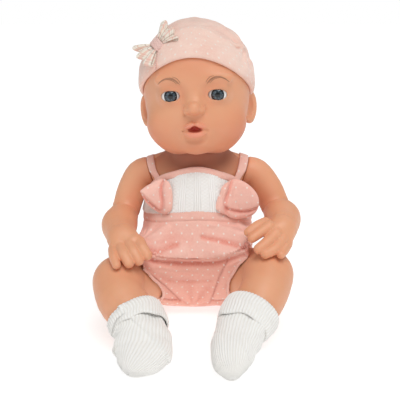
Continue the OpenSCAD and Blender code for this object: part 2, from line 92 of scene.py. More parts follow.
def mirrored(keys, side):
    return [[side * k[0], *k[1:]] for k in keys]


def curve(keys, steps):
    """A smooth curve through keys of any width, `steps` points to a stretch."""
    k = np.asarray(keys, float)
    padded = np.vstack([k[:1], k, k[-1:]])
    out = []
    for i in range(len(k) - 1):
        a, b, c, d = padded[i:i + 4]
        for t in np.arange(steps) / steps:
            out.append(0.5 * (2 * b + (c - a) * t + (2 * a - 5 * b + 4 * c - d) * t ** 2
                              + (3 * b - a - 3 * c + d) * t ** 3))
    return np.array(out + [k[-1]])


def wave(points, size, seed, octaves=3):
    """Smooth noise from -1 to 1 at each point, as a sum of turned sine products."""
    rng = np.random.default_rng(seed)
    total, weight = np.zeros(len(points)), 0.0
    for o in range(octaves):
        m = rng.normal(size=(3, 3)) * (2.2 / size) * 1.9 ** o
        s = np.sin(points @ m.T + rng.uniform(0, 6.28, 3))
        total += (s[:, 0] * s[:, 1] + s[:, 1] * s[:, 2] + s[:, 2]) * 0.55 ** o / 2
        weight += 0.55 ** o
    return total / weight


def full_turn(count):
    return np.arange(count) * 2 * math.pi / count


def circle(angles, u, v):
    """Points of the circle that u and v span, or of one circle to each row of u and v."""
    return np.cos(angles)[:, None] * u[..., None, :] + np.sin(angles)[:, None] * v[..., None, :]


def lengths(path):
    """How far along a path each of its points is."""
    return np.concatenate([[0], np.cumsum(np.linalg.norm(np.diff(path, axis=0), axis=1))])


# ---------------------------------------------------------------- distance fields

Shape = namedtuple("Shape", "distance low high")


def soft_min(a, b, k):
    if k <= 0:
        return np.minimum(a, b)
    h = np.maximum(k - np.abs(a - b), 0) / k
    return np.minimum(a, b) - h * h * k / 4


def ellipsoid(centre, radii, turn=(0, 0, 0)):
    c, r = np.array(centre, np.float32), np.array(radii, np.float32)
    m = np.array(Euler([math.radians(a) for a in turn]).to_matrix(), np.float32)

    def distance(x, y, z):
        p = [(x - c[0]) * m[0, i] + (y - c[1]) * m[1, i] + (z - c[2]) * m[2, i] for i in range(3)]
        k0 = np.sqrt(sum((p[i] / r[i]) ** 2 for i in range(3)))
        k1 = np.sqrt(sum((p[i] / r[i] ** 2) ** 2 for i in range(3)))
        return k0 * (k0 - 1) / np.maximum(k1, 1e-6)

    return Shape(distance, c - r.max(), c + r.max())


def tube(keys):
    """Round cones through keys [x, y, z, radius]."""
    k = np.array(keys, np.float32)

    def distance(x, y, z):
        best = None
        for a, b in zip(k[:-1], k[1:]):
            ab = b[:3] - a[:3]
            px, py, pz = x - a[0], y - a[1], z - a[2]
            t = np.clip((px * ab[0] + py * ab[1] + pz * ab[2]) / max(float(ab @ ab), 1e-6), 0, 1)
            d = np.sqrt((px - t * ab[0]) ** 2 + (py - t * ab[1]) ** 2 + (pz - t * ab[2]) ** 2)
            d = d - (a[3] + (b[3] - a[3]) * t)
            best = d if best is None else np.minimum(best, d)
        return best

    reach = k[:, 3].max()
    return Shape(distance, k[:, :3].min(0) - reach, k[:, :3].max(0) + reach)


def beyond(point, normal):
    """Everything on the far side of a plane."""
    p, n = np.array(point, np.float32), unit(normal).astype(np.float32)

    def distance(x, y, z):
        return -((x - p[0]) * n[0] + (y - p[1]) * n[1] + (z - p[2]) * n[2])

    return Shape(distance, np.full(3, -1e3), np.full(3, 1e3))


class Clay:
    """A solid on a grid of signed distances, in millimetres, negative inside."""

    def __init__(self, low, high, step):
        self.low, self.step = np.array(low, np.float32), np.float32(step)
        count = np.ceil((np.array(high) - self.low) / step).astype(int) + 1
        self.axes = [self.low[i] + self.step * np.arange(count[i], dtype=np.float32) for i in range(3)]
        self.field = np.full(count, FAR, np.float32)

    def part(self, shape, margin):
        cut = tuple(slice(*np.searchsorted(self.axes[i], (shape.low[i] - margin, shape.high[i] + margin)))
                    for i in range(3))
        x, y, z = (self.axes[i][cut[i]] for i in range(3))
        return cut, shape.distance(x[:, None, None], y[None, :, None], z[None, None, :])

    def add(self, shape, blend=0.0):
        cut, d = self.part(shape, blend + BESIDE)
        self.field[cut] = soft_min(self.field[cut], d, blend)

    def carve(self, shape, blend=0.0):
        cut, d = self.part(shape, blend + BESIDE)
        self.field[cut] = -soft_min(-self.field[cut], d, blend)

    def sample(self, p):
        """The distance at points, between the grid's own."""
        g = np.clip((p - self.low) / self.step, 0, np.array(self.field.shape) - 1.001)
        i = g.astype(int)
        f = g - i
        total = 0
        for corner in range(8):
            bit = [(corner >> b) & 1 for b in range(3)]
            w = np.prod([f[:, b] if bit[b] else 1 - f[:, b] for b in range(3)], axis=0)
            total = total + w * self.field[i[:, 0] + bit[0], i[:, 1] + bit[1], i[:, 2] + bit[2]]
        return total

    def slope(self, p):
        h = float(self.step) * 0.7
        return np.stack([(self.sample(p + h * e) - self.sample(p - h * e)) / (2 * h) for e in np.eye(3)], 1)

    def surface(self, rounds=2):
        """The surface as points and quads, evened out and settled back on the field."""
        grid = openvdb.FloatGrid(FAR)
        grid.copyFromArray(np.clip(self.field, -FAR, FAR))
        points, quads = grid.convertToQuads(0.0)
        points, quads = self.low + points.astype(float) * self.step, quads.astype(int)
        for _ in range(rounds):
            points = relaxed(points, quads, 0.6)
            g = self.slope(points)
            length = np.maximum(np.linalg.norm(g, axis=1, keepdims=True), 0.3)
            points = points - np.clip(self.sample(points)[:, None] / length, -0.6, 0.6) * g / length
        return points, quads


def relaxed(points, quads, share):
    """Every point moved a share of the way to the mean of its neighbours."""
    a, b = quads.ravel(), np.roll(quads, -1, 1).ravel()
    count = np.bincount(a, minlength=len(points)) + np.bincount(b, minlength=len(points))
    total = np.stack([np.bincount(a, points[b, i], len(points)) + np.bincount(b, points[a, i], len(points))
                      for i in range(3)], 1)
    return points + share * (total / np.maximum(count, 1)[:, None] - points)


# ---------------------------------------------------------------- pieces

def row(points):
    """From millimetres in the torso's frame to metres in the row frame."""
    return np.asarray(points) * 0.001 + ORIGIN


def piece(name, points, faces, body, finish, replaces=(), corner_uv=None, values=None, solidify=0.0,
          subdivide=0):
    """A mesh object that rides on a body; values are numbers for each point that its finish reads by name."""
    mesh = bpy.data.meshes.new(name)
    mesh.from_pydata(row(points).reshape(-1, 3).tolist(), [], [[int(i) for i in f] for f in faces])
    mesh.shade_smooth()
    if corner_uv is not None:
        mesh.uv_layers.new(name="cloth").data.foreach_set("uv", np.asarray(corner_uv, np.float32).ravel())
    for key, value in (values or {}).items():
        mesh.attributes.new(key, "FLOAT", "POINT").data.foreach_set("value", np.asarray(value, np.float32))
    mesh.materials.append(finish)
    mesh.validate()
    obj = bpy.data.objects.new(name, mesh)
    bpy.context.scene.collection.objects.link(obj)
    if solidify:
        m = obj.modifiers.new("thickness", "SOLIDIFY")
        m.thickness, m.offset, m.use_even_offset = solidify * 0.001, -1, False
    if subdivide:
        m = obj.modifiers.new("smooth", "SUBSURF")
        m.levels = m.render_levels = subdivide
    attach(obj, body)
    if replaces:
        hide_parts(*replaces)
    return obj


def net(points, loop=False):
    """Faces and corner coordinates (column, row) of a grid of points, shape (rows, columns, 3)."""
    rows, cols = points.shape[:2]
    r, c = np.meshgrid(np.arange(rows - 1), np.arange(cols - (0 if loop else 1)), indexing="ij")
    r, c = r.ravel(), c.ravel()
    corners = [(r, c), (r + 1, c), (r + 1, c + 1), (r, c + 1)]
    faces = np.stack([a * cols + b % cols for a, b in corners], 1)
    uv = np.stack([np.stack([b, a], 1) for a, b in corners], 1).astype(float)
    return faces, uv


# ---------------------------------------------------------------- materials

class Paint:
    """A node material round one Principled shader; what is the same all over goes on its own sockets."""

    def __init__(self, name, colour, roughness, **sockets):
        self.material = bpy.data.materials.new(name)
        self.material.use_nodes = True
        self.nodes, self.links = self.material.node_tree.nodes, self.material.node_tree.links
        self.shader = self.nodes["Principled BSDF"]
        self.set("Base Color", (*colour, 1))
        self.set("Roughness", roughness)
        for key, value in sockets.items():
            self.set(key.replace("_", " "), value)

    def set(self, socket, value):
        self.shader.inputs[socket].default_value = value

    def node(self, kind, inputs=None, **props):
        n = self.nodes.new("ShaderNode" + kind)
        for key, value in props.items():
            setattr(n, key, value)
        for key, value in (inputs or {}).items():
            socket = n.inputs[key]
            if hasattr(value, "is_output"):
                self.links.new(value, socket)
            else:
                socket.default_value = value
        return n

    def math(self, operation, a, b=0.0):
        return self.node("Math", {0: a, 1: b}, operation=operation).outputs[0]

    def place(self):
        return self.node("TexCoord").outputs["Object"]

    def value(self, name):
        return self.node("Attribute", attribute_name=name).outputs["Fac"]

    def uv(self):
        return self.node("UVMap", uv_map="cloth").outputs["UV"]

    def noise(self, scale, detail=2.0, where=None):
        return self.node("TexNoise", {"Vector": where or self.place(), "Scale": scale,
                                      "Detail": detail}).outputs["Fac"]

    def range(self, x, low, high, to_low=0.0, to_high=1.0):
        return self.node("MapRange", {"Value": x, "From Min": low, "From Max": high, "To Min": to_low,
                                      "To Max": to_high}, interpolation_type="SMOOTHSTEP").outputs[0]

    def mix(self, factor, a, b):
        n = self.node("Mix", data_type="RGBA")
        sockets = [s for s in n.inputs if s.enabled]
        for socket, value in zip(sockets, (factor, a, b)):
            if hasattr(value, "is_output"):
                self.links.new(value, socket)
            elif isinstance(value, tuple):
                socket.default_value = (*value, 1)
            else:
                socket.default_value = value
        return [s for s in n.outputs if s.enabled][0]

    def colour(self, socket):
        self.links.new(socket, self.shader.inputs["Base Color"])

    def worn(self, scale, low, high, detail=2.0, ends=(0.2, 0.8)):
        """Roughness that wanders between two values."""
        wander = self.range(self.noise(scale, detail), *ends, low, high)
        self.links.new(wander, self.shader.inputs["Roughness"])

    def bump(self, height, distance, strength):
        n = self.node("Bump", {"Height": height, "Distance": distance, "Strength": strength})
        self.links.new(n.outputs[0], self.shader.inputs["Normal"])


TAN = (0.775, 0.362, 0.2)
RUDDY = (0.70, 0.22, 0.115)


def vinyl(name, masks=()):
    """Soft matt vinyl with sprayed blush, and painted shade in its creases, under the jaw and at the neck.
    masks: (attribute, colour).
    """
    p = Paint(name, TAN, 0.48, Subsurface_Weight=0.18, Subsurface_Scale=0.004, Sheen_Weight=0.05)
    p.set("Subsurface Radius", (1.0, 0.35, 0.2))
    c = p.mix(p.range(p.noise(38.0), 0.3, 0.75, 0.0, 0.5), TAN, (0.80, 0.41, 0.24))
    # Ruddy mix: the doll's blush on cheeks and lips, and painted shade in creases, hollows and under the jaw.
    c = p.mix(p.value("blush_and_shade"), c, RUDDY)
    # Dark mix: painted shadow under the chin and on the neck.
    c = p.mix(p.value("shade"), c, (0.33, 0.10, 0.052))
    for attribute, tone in masks:
        c = p.mix(p.value(attribute), c, tone)
    p.colour(c)
    p.worn(300.0, 0.42, 0.54, 3.0)
    p.bump(p.noise(1500.0, 3.0), 0.00006, 0.35)
    return p.material


def moulded(name, colour, roughness=0.42, metallic=0.0):
    """Hard moulded plastic or sheet metal with fine handling marks."""
    p = Paint(name, colour, roughness, Metallic=metallic)
    dark = tuple(0.9 * c for c in colour)
    p.colour(p.mix(p.range(p.noise(90.0, 4.0), 0.35, 0.7), colour, dark))
    p.worn(420.0, roughness - 0.07, roughness + 0.08, 3.0)
    p.bump(p.noise(900.0, 2.0), 0.00004, 0.5)
    return p.material


SKIN = vinyl("vinyl_skin")
# Face masks: lips, the open mouth's dark red, and a dark line on the lids' rims round the eyes.
FACE = vinyl("vinyl_face", [("lips", (0.83, 0.29, 0.20)), ("mouth", (0.52, 0.055, 0.03)),
                            ("lid_rim_dark", (0.12, 0.04, 0.025))])


# ---------------------------------------------------------------- head

MIDDLE = 1.5                        # the head is this far to the left of the neck's axis
EYES = np.array([[MIDDLE + 17.5, -33.5, 181.0], [MIDDLE - 17.5, -33.5, 181.0]])
EYE_R = 9.0
NECK = tube([[0, 0, 118, 24.5], [0, 0, 128, 23.5], [0, 0, 150, 19.5]])


def head_clay():
    clay = Clay([-52, -62, 130], [54, 50, 238], 0.6)
    m = MIDDLE
    clay.add(ellipsoid((m, 0, 189), (42.5, 45, 45.5)))
    clay.add(ellipsoid((m, -9, 166.4), (38.5, 34, 31.8)), 10)
    for side in (1, -1):
        clay.add(ellipsoid((m + side * 21.5, -26, 157), (16, 14.5, 15)), 9)
        clay.add(ellipsoid((m + side * 14.5, -19, 149.8), (15.5, 17.5, 15.8)), 9)
        clay.add(ellipsoid((m + side * 17, -38.5, 193), (12, 3.6, 4)), 7)
    clay.add(ellipsoid((m, -35, 143.6), (10.5, 8, 7.5)), 9)
    clay.add(ellipsoid((m, -40, 157), (12.5, 6.6, 10)), 8)
    add_eyelids(clay)
    add_nose(clay)
    add_mouth(clay)
    for side in (1, -1):
        add_ear(clay, side)
    clay.carve(NECK, 1.5)
    return clay


def add_eyelids(clay):
    for x, y, z in EYES:
        clay.carve(ellipsoid((x, y - 12.5, z + 0.5), (12, 4.2, 8.5)), 5)
        clay.add(ellipsoid((x, y + 0.3, z), (10.4, 10.2, 9.6)), 3)
        clay.carve(tube([[x - 7.6, y - 10.4, z + 6.4, 0.5], [x, y - 10.6, z + 7.7, 0.7],
                         [x + 7.6, y - 10.4, z + 6.4, 0.5]]), 1.6)
        clay.carve(eye_opening(x, y, z), 0.7)
        clay.carve(ellipsoid((x, y, z), (EYE_R + 0.12,) * 3))


def eye_opening(x0, y0, z0):
    """An almond hole through the lids: flat-topped, and a little lower at its outer corner."""
    outward = 1 if x0 > MIDDLE else -1

    def distance(x, y, z):
        u = (x - x0) / 6.9
        v = (z - z0 + 0.25 * u * outward) / np.where(z > z0, 3.9, 3.6)
        d = (np.power(np.abs(u) ** 2.3 + np.abs(v) ** 2.3 + 1e-9, 1 / 2.3) - 1) * 4.6
        return np.maximum(d, y - y0 + 0 * x) + 0 * z

    return Shape(distance, np.array([x0 - 9, y0 - 22, z0 - 7]), np.array([x0 + 9, y0 + 1, z0 + 7]))


def add_nose(clay):
    m = MIDDLE
    clay.add(tube([[m, -36.0, 188, 2.2], [m, -38.8, 181, 3.0], [m, -43.0, 176, 3.8]]), 8)
    clay.add(ellipsoid((m, -48, 172.8), (5.3, 6.2, 4.8)), 3.6)
    for side in (1, -1):
        clay.add(ellipsoid((m + side * 5.2, -45.4, 170.9), (3.0, 4.2, 3.1)), 1.8)
        clay.carve(tube([[m + side * 8.4, -44.0, 173.6, 0.4], [m + side * 9.0, -43.8, 170.6, 0.5],
                         [m + side * 7.8, -44.6, 167.4, 0.4]]), 1.8)
        clay.carve(ellipsoid((m + side * 3.0, -50, 167.2), (1.6, 2.6, 1.3)), 0.9)


def both_ways(middle, *rest):
    """Keys from a middle one out to the doll's left, with the same keys on its right before them."""
    return mirrored(rest[::-1], -1) + [middle, *rest]


def add_mouth(clay):
    m = MIDDLE
    clay.carve(tube([[m, -50.6, 166.5, 0.9], [m, -49.6, 162, 1.4]]), 2.4)
    upper = both_ways([0, -48.2, 159.3, 1.7], [2.8, -48.1, 160.2, 2.0], [6.2, -46.2, 158.2, 1.7],
                      [9.6, -43, 156, 0.9])
    lower = both_ways([0, -47.9, 152.2, 2.6], [4.4, -46.9, 152.9, 2.2], [8, -44, 154.9, 0.9])
    line = both_ways([0, -49.6, 156.6, 0.7], [7, -46.8, 156, 0.5], [9.4, -44.6, 155.1, 0.2])
    clay.add(tube(curve([[m + x, y, z, r] for x, y, z, r in upper], 3)), 1.6)
    clay.add(tube(curve([[m + x, y, z, r] for x, y, z, r in lower], 3)), 1.8)
    clay.carve(tube([[m - 6, -45, 148.8, 1.2], [m, -46.4, 148, 1.8], [m + 6, -45, 148.8, 1.2]]), 4.5)
    clay.carve(tube(curve([[m + x, y, z, r] for x, y, z, r in line], 3)), 1.6)
    clay.carve(ellipsoid((m, -47.5, 156.2), (5.3, 4.2, 1.7)), 0.7)
    clay.carve(ellipsoid((m, -47.5, 157.6), (2.5, 4.2, 2.5)), 0.9)


def add_ear(clay, side, flare=42):
    """A flared ear: a tilted dish with a rolled rim, a little knob before it and a lobe."""
    turn = (0, 0, -flare * side)
    across, along = math.cos(math.radians(flare)), math.sin(math.radians(flare))
    out, back = np.array([side * across, -along, 0]), np.array([side * along, across, 0])
    c = np.array([MIDDLE + side * 40.6, 3.2, 166])
    clay.add(ellipsoid(c, (3, 7.4, 12.4), turn), 2.2)
    a = np.radians(np.linspace(-125, 150, 26))
    rim = c + 0.9 * out + 6.5 * np.cos(a)[:, None] * back + 11.4 * np.sin(a)[:, None] * np.array([0, 0, 1])
    clay.add(tube(np.hstack([rim, np.full((26, 1), 1.8)])), 0.8)
    clay.carve(ellipsoid(c + 3.6 * out - 0.4 * back + (0, 0, 1), (3.9, 4.4, 8.6), turn), 0.9)
    clay.add(ellipsoid(c + 1.4 * out - 5.4 * back + (0, 0, -1.5), (1.8, 1.8, 2.8)), 1.6)
    clay.add(ellipsoid(c + 0.6 * out + 0.4 * back + (0, 0, -10.4), (2.3, 3.6, 3), turn), 1.8)


def near(points, centre, radii, power=2.0):
    """1 at a centre, falling smoothly to 0 beyond an ellipsoid."""
    d = np.sqrt((((points - np.array(centre)) / np.array(radii)) ** 2).sum(1))
    return np.exp(-(d ** power))


def sprayed(points, *spots):
    """Soft spots of colour added up, each (strength, centre, radii) and sometimes a power."""
    return sum(strength * near(points, *spot) for strength, *spot in spots)


# Ruddy spots on the head: the cheeks' and lips' own blush, and painted shade under the jaw, under the nose
# and lower lip, round the eyes, in the ears, at the sides of the face and high on the forehead.
HEAD_BLUSH_AND_SHADE = [(0.85, (30, -28, 152), (17, 17, 14)), (0.7, (-31, -28, 150), (17, 17, 14)),
              (0.3, (0, -48, 157), (15, 8, 6)), (0.28, (0, -44, 143), (12, 8, 5)),
              (0.3, (0, -50, 167.5), (7, 6, 2.5)), (0.3, (0, -40, 206), (36, 20, 14)),
              (0.6, (0, -8, 136), (44, 40, 8))]
for s in (1, -1):
    HEAD_BLUSH_AND_SHADE += [(0.5, (s * 8, -40, 181.5), (4, 5, 4.5)), (0.3, (s * 17.5, -42, 187.5), (9, 5, 3)),
                   (0.22, (s * 17.5, -42, 175), (9, 5, 2.6)), (0.5, (s * 42.5, 1, 167), (3, 4, 8)),
                   (0.3, (s * 38, -12, 172), (6, 10, 22))]


def head_masks(p):
    """Where the head's vinyl is coloured: lips, open mouth, dark lid rims, blush with painted shade in the
    hollows, and painted shadow under the jaw by the neck.
    """
    p = p - (MIDDLE, 0, 0)
    front = p[:, 1] < -36
    upper, lower = near(p, (0, -48, 158.9), (8.6, 6, 2.6), 4), near(p, (0, -47.6, 152.9), (7, 6, 3.0), 4)
    inside = near(p, (0, -46, 156.6), (5.3, 4.4, 2.4), 6)
    # A dark line on the lids' rims round each eyeball, strongest along the upper lid.
    lid_rim_dark = np.zeros(len(p))
    for eye in EYES - (MIDDLE, 0, 0):
        edge = np.abs(np.linalg.norm(p - eye, axis=1) - EYE_R)
        line = np.exp(-(edge / 0.75) ** 2) * np.clip((p[:, 2] - eye[2] + 1.5) / 3, 0.25, 1) * 0.95
        lid_rim_dark = np.maximum(lid_rim_dark, line)
    # The shade value is painted shadow under the jaw, by the neck.
    return {"shade": sprayed(p, (0.3, (0, -10, 134), (34, 34, 5), 3)),
            "lips": np.where(front, np.maximum(upper, lower) * 0.68, 0),
            "mouth": np.where(p[:, 1] < -38, inside, 0),
            "blush_and_shade": np.clip(sprayed(p, *HEAD_BLUSH_AND_SHADE), 0, 0.85), "lid_rim_dark": np.where(front, lid_rim_dark, 0)}


def make_head():
    points, quads = head_clay().surface()
    masks = head_masks(points)
    piece("head_skin", on_head(points), quads, "head", FACE, ["head_shell"], values=masks)


# ---------------------------------------------------------------- eyes

def iris_finish():
    """A glossy acrylic eye: white, a dark rim, streaked blue-grey iris and a black pupil, all by distance."""
    p = Paint("acrylic_eye", (0.9, 0.9, 0.88), 0.08, Coat_Weight=0.7, Coat_Roughness=0.03,
              Specular_IOR_Level=0.3)
    r, a = p.value("iris_r"), p.value("iris_a")
    streak = p.node("CombineXYZ", {0: p.math("MULTIPLY", a, 3.4), 1: p.math("MULTIPLY", r, 1.6)}).outputs[0]
    fibres = p.noise(1.0, 2.0, streak)
    iris = p.mix(p.range(fibres, 0.46, 0.66), (0.010, 0.019, 0.028), (0.15, 0.21, 0.25))
    iris = p.mix(p.range(r, 0.66, 0.86), iris, (0.004, 0.006, 0.009))
    iris = p.mix(p.range(r, 0.44, 0.3), iris, (0.003, 0.004, 0.005))
    white = p.mix(p.range(r, 1.1, 2.2), (0.88, 0.88, 0.87), (0.78, 0.70, 0.66))
    p.colour(p.mix(p.range(r, 0.96, 1.05), iris, white))
    p.worn(600.0, 0.05, 0.1, ends=(0.3, 0.7))
    return p.material


def make_eye(name, centre, finish):
    """An eyeball with a low clear-looking dome over its iris, as rings round the way it looks."""
    pole = 0.002                        # the first and last rings stop this short of the poles, in radians
    v, u = np.meshgrid(np.linspace(pole, math.pi - pole, 60), full_turn(96), indexing="ij")
    iris = 5.25 / EYE_R
    dome = 0.35 * np.clip(1 - (v / iris) ** 2, 0, 1) ** 1.5
    r = EYE_R - 0.02 + dome
    gaze = (0.012, -1, 0.0)
    forward, side = unit(gaze), unit(np.cross((0, 0, 1), gaze))
    up = np.cross(side, forward)
    p = centre + (r * np.cos(v))[..., None] * forward + (r * np.sin(v) * np.cos(u))[..., None] * side \
        + (r * np.sin(v) * np.sin(u))[..., None] * up
    faces, _ = net(p, loop=True)
    values = {"iris_r": (v / iris).ravel(), "iris_a": (np.abs(u - math.pi) / math.pi).ravel() * 6}
    return piece(name, on_head(p), faces, "head", finish, values=values)


def make_eyes():
    finish = iris_finish()
    for name, centre in zip(("eye_left", "eye_right"), EYES):
        ball = make_eye(name + "_ball", centre, finish)
        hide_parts(name)


# ---------------------------------------------------------------- brows

def on_surface(clay, x, z, proud):
    """The face's points at x and z, found from in front."""
    p = np.stack([np.asarray(x, float), np.full(len(x), -61.0), np.asarray(z, float)], 1)
    for _ in range(60):
        p[:, 1] += 0.8 * np.clip(clay.sample(p) - proud, -1, 3)
    return p


def strand(path, radii, sides=6):
    """A thin tapering strand along a path: points and faces."""
    along = unit(np.gradient(path, axis=0))
    side = unit(np.cross(along, (0.1, -1, 0.2)))
    over = np.cross(along, side)
    ring = path[:, None] + radii[:, None, None] * circle(full_turn(sides), side, over)
    faces, _ = net(ring, loop=True)
    return ring, faces


def joined(parts):
    """Several (points, faces) as one."""
    points, faces, n = [], [], 0
    for p, f in parts:
        points.append(p.reshape(-1, 3))
        faces.append(f + n)
        n += len(points[-1])
    return np.vstack(points), np.vstack(faces)


def make_brows(clay):
    """One long arched hair over each eye, and a fan of short ones at its inner end."""
    hairs = [([13.5, 16.5, 20, 23.5, 26.6], [193.2, 194.3, 194.2, 192.7, 190], 0.24),
             ([11.2, 13.4, 17, 21.5], [190.2, 192.6, 194.2, 194], 0.13),
             ([10, 11.8, 14.4, 17.5], [189.4, 192, 194, 195], 0.11),
             ([12.4, 14, 16.5, 19.5], [190, 191.9, 193.2, 193.6], 0.11),
             ([9.4, 10.6, 12.6, 15.4], [190.6, 192.8, 194.6, 195.5], 0.1)]
    parts = []
    for side in (1, -1):
        for xs, zs, width in hairs:
            line = curve(np.stack([xs, zs], 1), 6)
            path = on_surface(clay, MIDDLE + side * line[:, 0], line[:, 1], 0.03)
            taper = np.sin(np.linspace(0.12, math.pi - 0.05, len(path))) ** 0.7 * 2.1 * width + 0.04
            parts.append(strand(path, taper))
    points, faces = joined(parts)
    p = Paint("brow_paint", (0.33, 0.15, 0.08), 0.6)
    p.colour(p.mix(p.noise(500.0), (0.36, 0.16, 0.085), (0.48, 0.24, 0.14)))
    piece("brows", on_head(points), faces, "head", p.material)


# ---------------------------------------------------------------- chest and neck

def torso_half_width(z):
    """The torso shells' profile, as in part.scad."""
    return np.interp(z, [2, 5, 12, 30, 55, 80, 100, 114, 124, 130, 134],
                     [14, 25, 33, 40, 43, 41, 36, 31, 22, 16, 15])


def shoulder_axis(side):
    return np.array([side * math.cos(SHOULDER_TILT), 0, -math.sin(SHOULDER_TILT)])


def at_shoulder(side, along):
    return SHOULDER * (side, 1, 1) + shoulder_axis(side) * along


def chest_profile():
    def distance(x, y, z):
        width = np.interp(z, [60, 80, 100, 110, 117, 124, 130, 140],
                          [43.4, 41.4, 36.8, 34, 31.4, 24.5, 19, 17]).astype(np.float32)
        return (np.sqrt(x * x + (y / 0.84) ** 2) - width) * 0.85

    return Shape(distance, np.array([-50, -50, 70]), np.array([50, 50, 150]))


def shoulder_face(side):
    """The tilted face against which an arm turns; below it the torso keeps its round side."""
    cut = beyond(at_shoulder(side, -8.7), shoulder_axis(side))

    def distance(x, y, z):
        return np.maximum(cut.distance(x, y, z), 97 - z)

    return Shape(distance, cut.low, cut.high)


def chest_clay(low=86, step=0.8):
    """The upper chest, the shoulders and the neck, down to a given height."""
    clay = Clay([-60, -58, low], [60, 58, 150], step)
    clay.add(chest_profile(), 20)
    clay.add(tube([[0, 0, 116, 23.6], [0, 0, 128, 22.5], [0, 0, 144, 18.8]]), 6)
    yoke = [[20, 1, 117.8, 13.6], [38, 2, 113.8, 12.3]]
    clay.add(tube(mirrored(yoke[::-1], -1) + yoke), 7)
    for side in (1, -1):
        clay.carve(shoulder_face(side), 1)
        clay.carve(tube([[*at_shoulder(side, -34), 7.9], [*at_shoulder(side, -6), 7.9]]))
    clay.carve(tube([[0, 0, 122, 13.4], [0, 0, 160, 13.4]]))
    clay.carve(beyond((0, 0, low + 2), (0, 0, -1)))
    return clay


def make_chest():
    points, quads = chest_clay().surface()
    # Ruddy spots: painted shade under the chin, on the upper chest and where the arms join the shoulders.
    blush_and_shade = sprayed(points, (0.75, (0, -14, 133), (34, 30, 9)), (0.35, (0, -25, 120), (40, 16, 7)),
                    (0.4, (38, 0, 118), (8, 24, 14)), (0.4, (-38, 0, 118), (8, 24, 14)))
    # Dark spots: painted shadow under the chin, on the neck and upper chest.
    shade = sprayed(points, (0.8, (0, -14, 134), (40, 40, 13), 4), (0.45, (0, -25, 120), (38, 30, 12), 3))
    piece("chest_skin", points, quads, "torso", SKIN,
          values={"blush_and_shade": np.clip(blush_and_shade, 0, 0.85), "shade": np.clip(shade, 0, 0.8)})


# ---------------------------------------------------------------- arms and legs

ARMS = {
    1: [[38.4, 2, 114.5, 11.8], [48, 2, 112, 12.4], [57.5, -1, 100, 12.4], [64, -8, 87, 11.8],
        [68, -26, 81.5, 12.8], [67, -40, 80.5, 12], [64.5, -48, 80, 10]],
    -1: [[38.4, 2, 114.5, 12], [47, 2, 111, 12.5], [54.5, -1, 98, 12], [59, -8, 84, 11.5],
         [62.5, -26, 76, 12.8], [60, -40, 74, 12], [57, -49, 73, 10]]}
HANDS = {
    1: [[[64.5, -48, 80, 9], [58, -54, 79.5, 7]], [[66, -49, 78, 8.5], [66.5, -56, 72.5, 6]],
        [[54, -56, 84, 5], [47, -61, 81, 4.4], [41, -65, 78, 4]],
        [[59, -59, 79.5, 5.2], [52, -66, 75, 4.5], [45.5, -71, 71.5, 4.2]],
        [[64, -59, 75, 5], [58, -68, 70.5, 4.5], [50.5, -72, 68, 4.1]],
        [[68, -58, 71, 4.5], [65, -66, 69, 4.1], [62, -72, 67.5, 3.6]],
        [[52, -50, 85, 5], [45, -55, 84, 4.3], [38.5, -59, 80.5, 3.8]]],
    -1: [[[57, -49, 73, 9], [48, -57, 72, 7]], [[60, -50, 71, 8.5], [61, -57, 69, 6]],
         [[44, -59, 72.5, 5.2], [41, -65.5, 70, 4.8], [37.5, -69, 66, 4.4]],
         [[50.5, -61, 71, 5.2], [47.3, -68.5, 68, 4.8], [43.5, -72, 63, 4.4]],
         [[57.5, -61, 69, 5], [54.5, -70, 66.6, 4.7], [50.5, -75, 62, 4.3]],
         [[63.5, -60, 67, 4.5], [62, -70, 65, 4.1], [59.5, -77, 61, 3.6]],
         [[48, -52, 68, 5], [40, -58, 65, 4.2]]]}


def arm_clay(side):
    keys = mirrored(ARMS[side], side)
    low, high = np.array(keys)[:, :3].min(0), np.array(keys)[:, :3].max(0)
    clay = Clay([min(low[0], side * 34) - 16, -84, 54], [max(high[0], side * 34) + 16, 18, 130], 0.6)
    clay.add(tube(curve(keys, 4)))
    fold_arm(clay, keys)
    for finger in HANDS[side][:2]:
        clay.add(tube(mirrored(finger, side)), 5)
    for finger in HANDS[side][2:]:
        clay.add(tube(curve([[*k[:3], k[3] - 0.3] for k in mirrored(finger, side)], 4)), 0.9)
    clay.carve(beyond(at_shoulder(side, -8), -shoulder_axis(side)), 1.2)
    return clay


def ring_groove(at, normal, radius, width):
    """A groove round a limb."""
    n = unit(normal)
    u = unit(np.cross(n, (0.3, 0.2, 1)))
    p = at + radius * circle(np.radians(np.linspace(0, 360, 25)), u, np.cross(n, u))
    return tube(np.hstack([p, np.full((25, 1), width)]))


def fold_arm(clay, keys):
    """The creases at the elbow and the wrist, and the plump forearm between them."""
    k = np.array(keys)
    elbow, wrist = k[3, :3], k[6, :3]
    clay.add(ellipsoid(k[4, :3] + (0, 1, 1), (12.8, 13, 12.2)), 6)
    clay.carve(ring_groove(elbow + (0, -1.5, -1), unit(k[4, :3] - k[2, :3]), k[3, 3] + 0.4, 0.6), 2.2)
    clay.carve(ring_groove(wrist + (0, 3, 0), unit(wrist - k[5, :3]), 11.6, 0.6), 1.8)


# Ruddy spots on an arm: blush on the fingertips, and painted shade in the elbow's crease, under the knuckles
# and where the arm meets the shoulder.
def arm_blush_and_shade(p, side):
    k = np.array(mirrored(ARMS[side], side))
    spots = [(0.5, k[3, :3] + (-side * 9, -6, 3), (9, 14, 13)), (0.35, k[0, :3], (9, 16, 22))]
    for finger in HANDS[side][2:]:
        f = np.array(mirrored(finger, side))
        spots += [(0.22, f[0, :3] + (0, -1.5, -4), (4, 4, 3.5)), (0.16, f[-1, :3], (5, 5, 5))]
    return np.clip(sprayed(p, *spots), 0, 0.7)


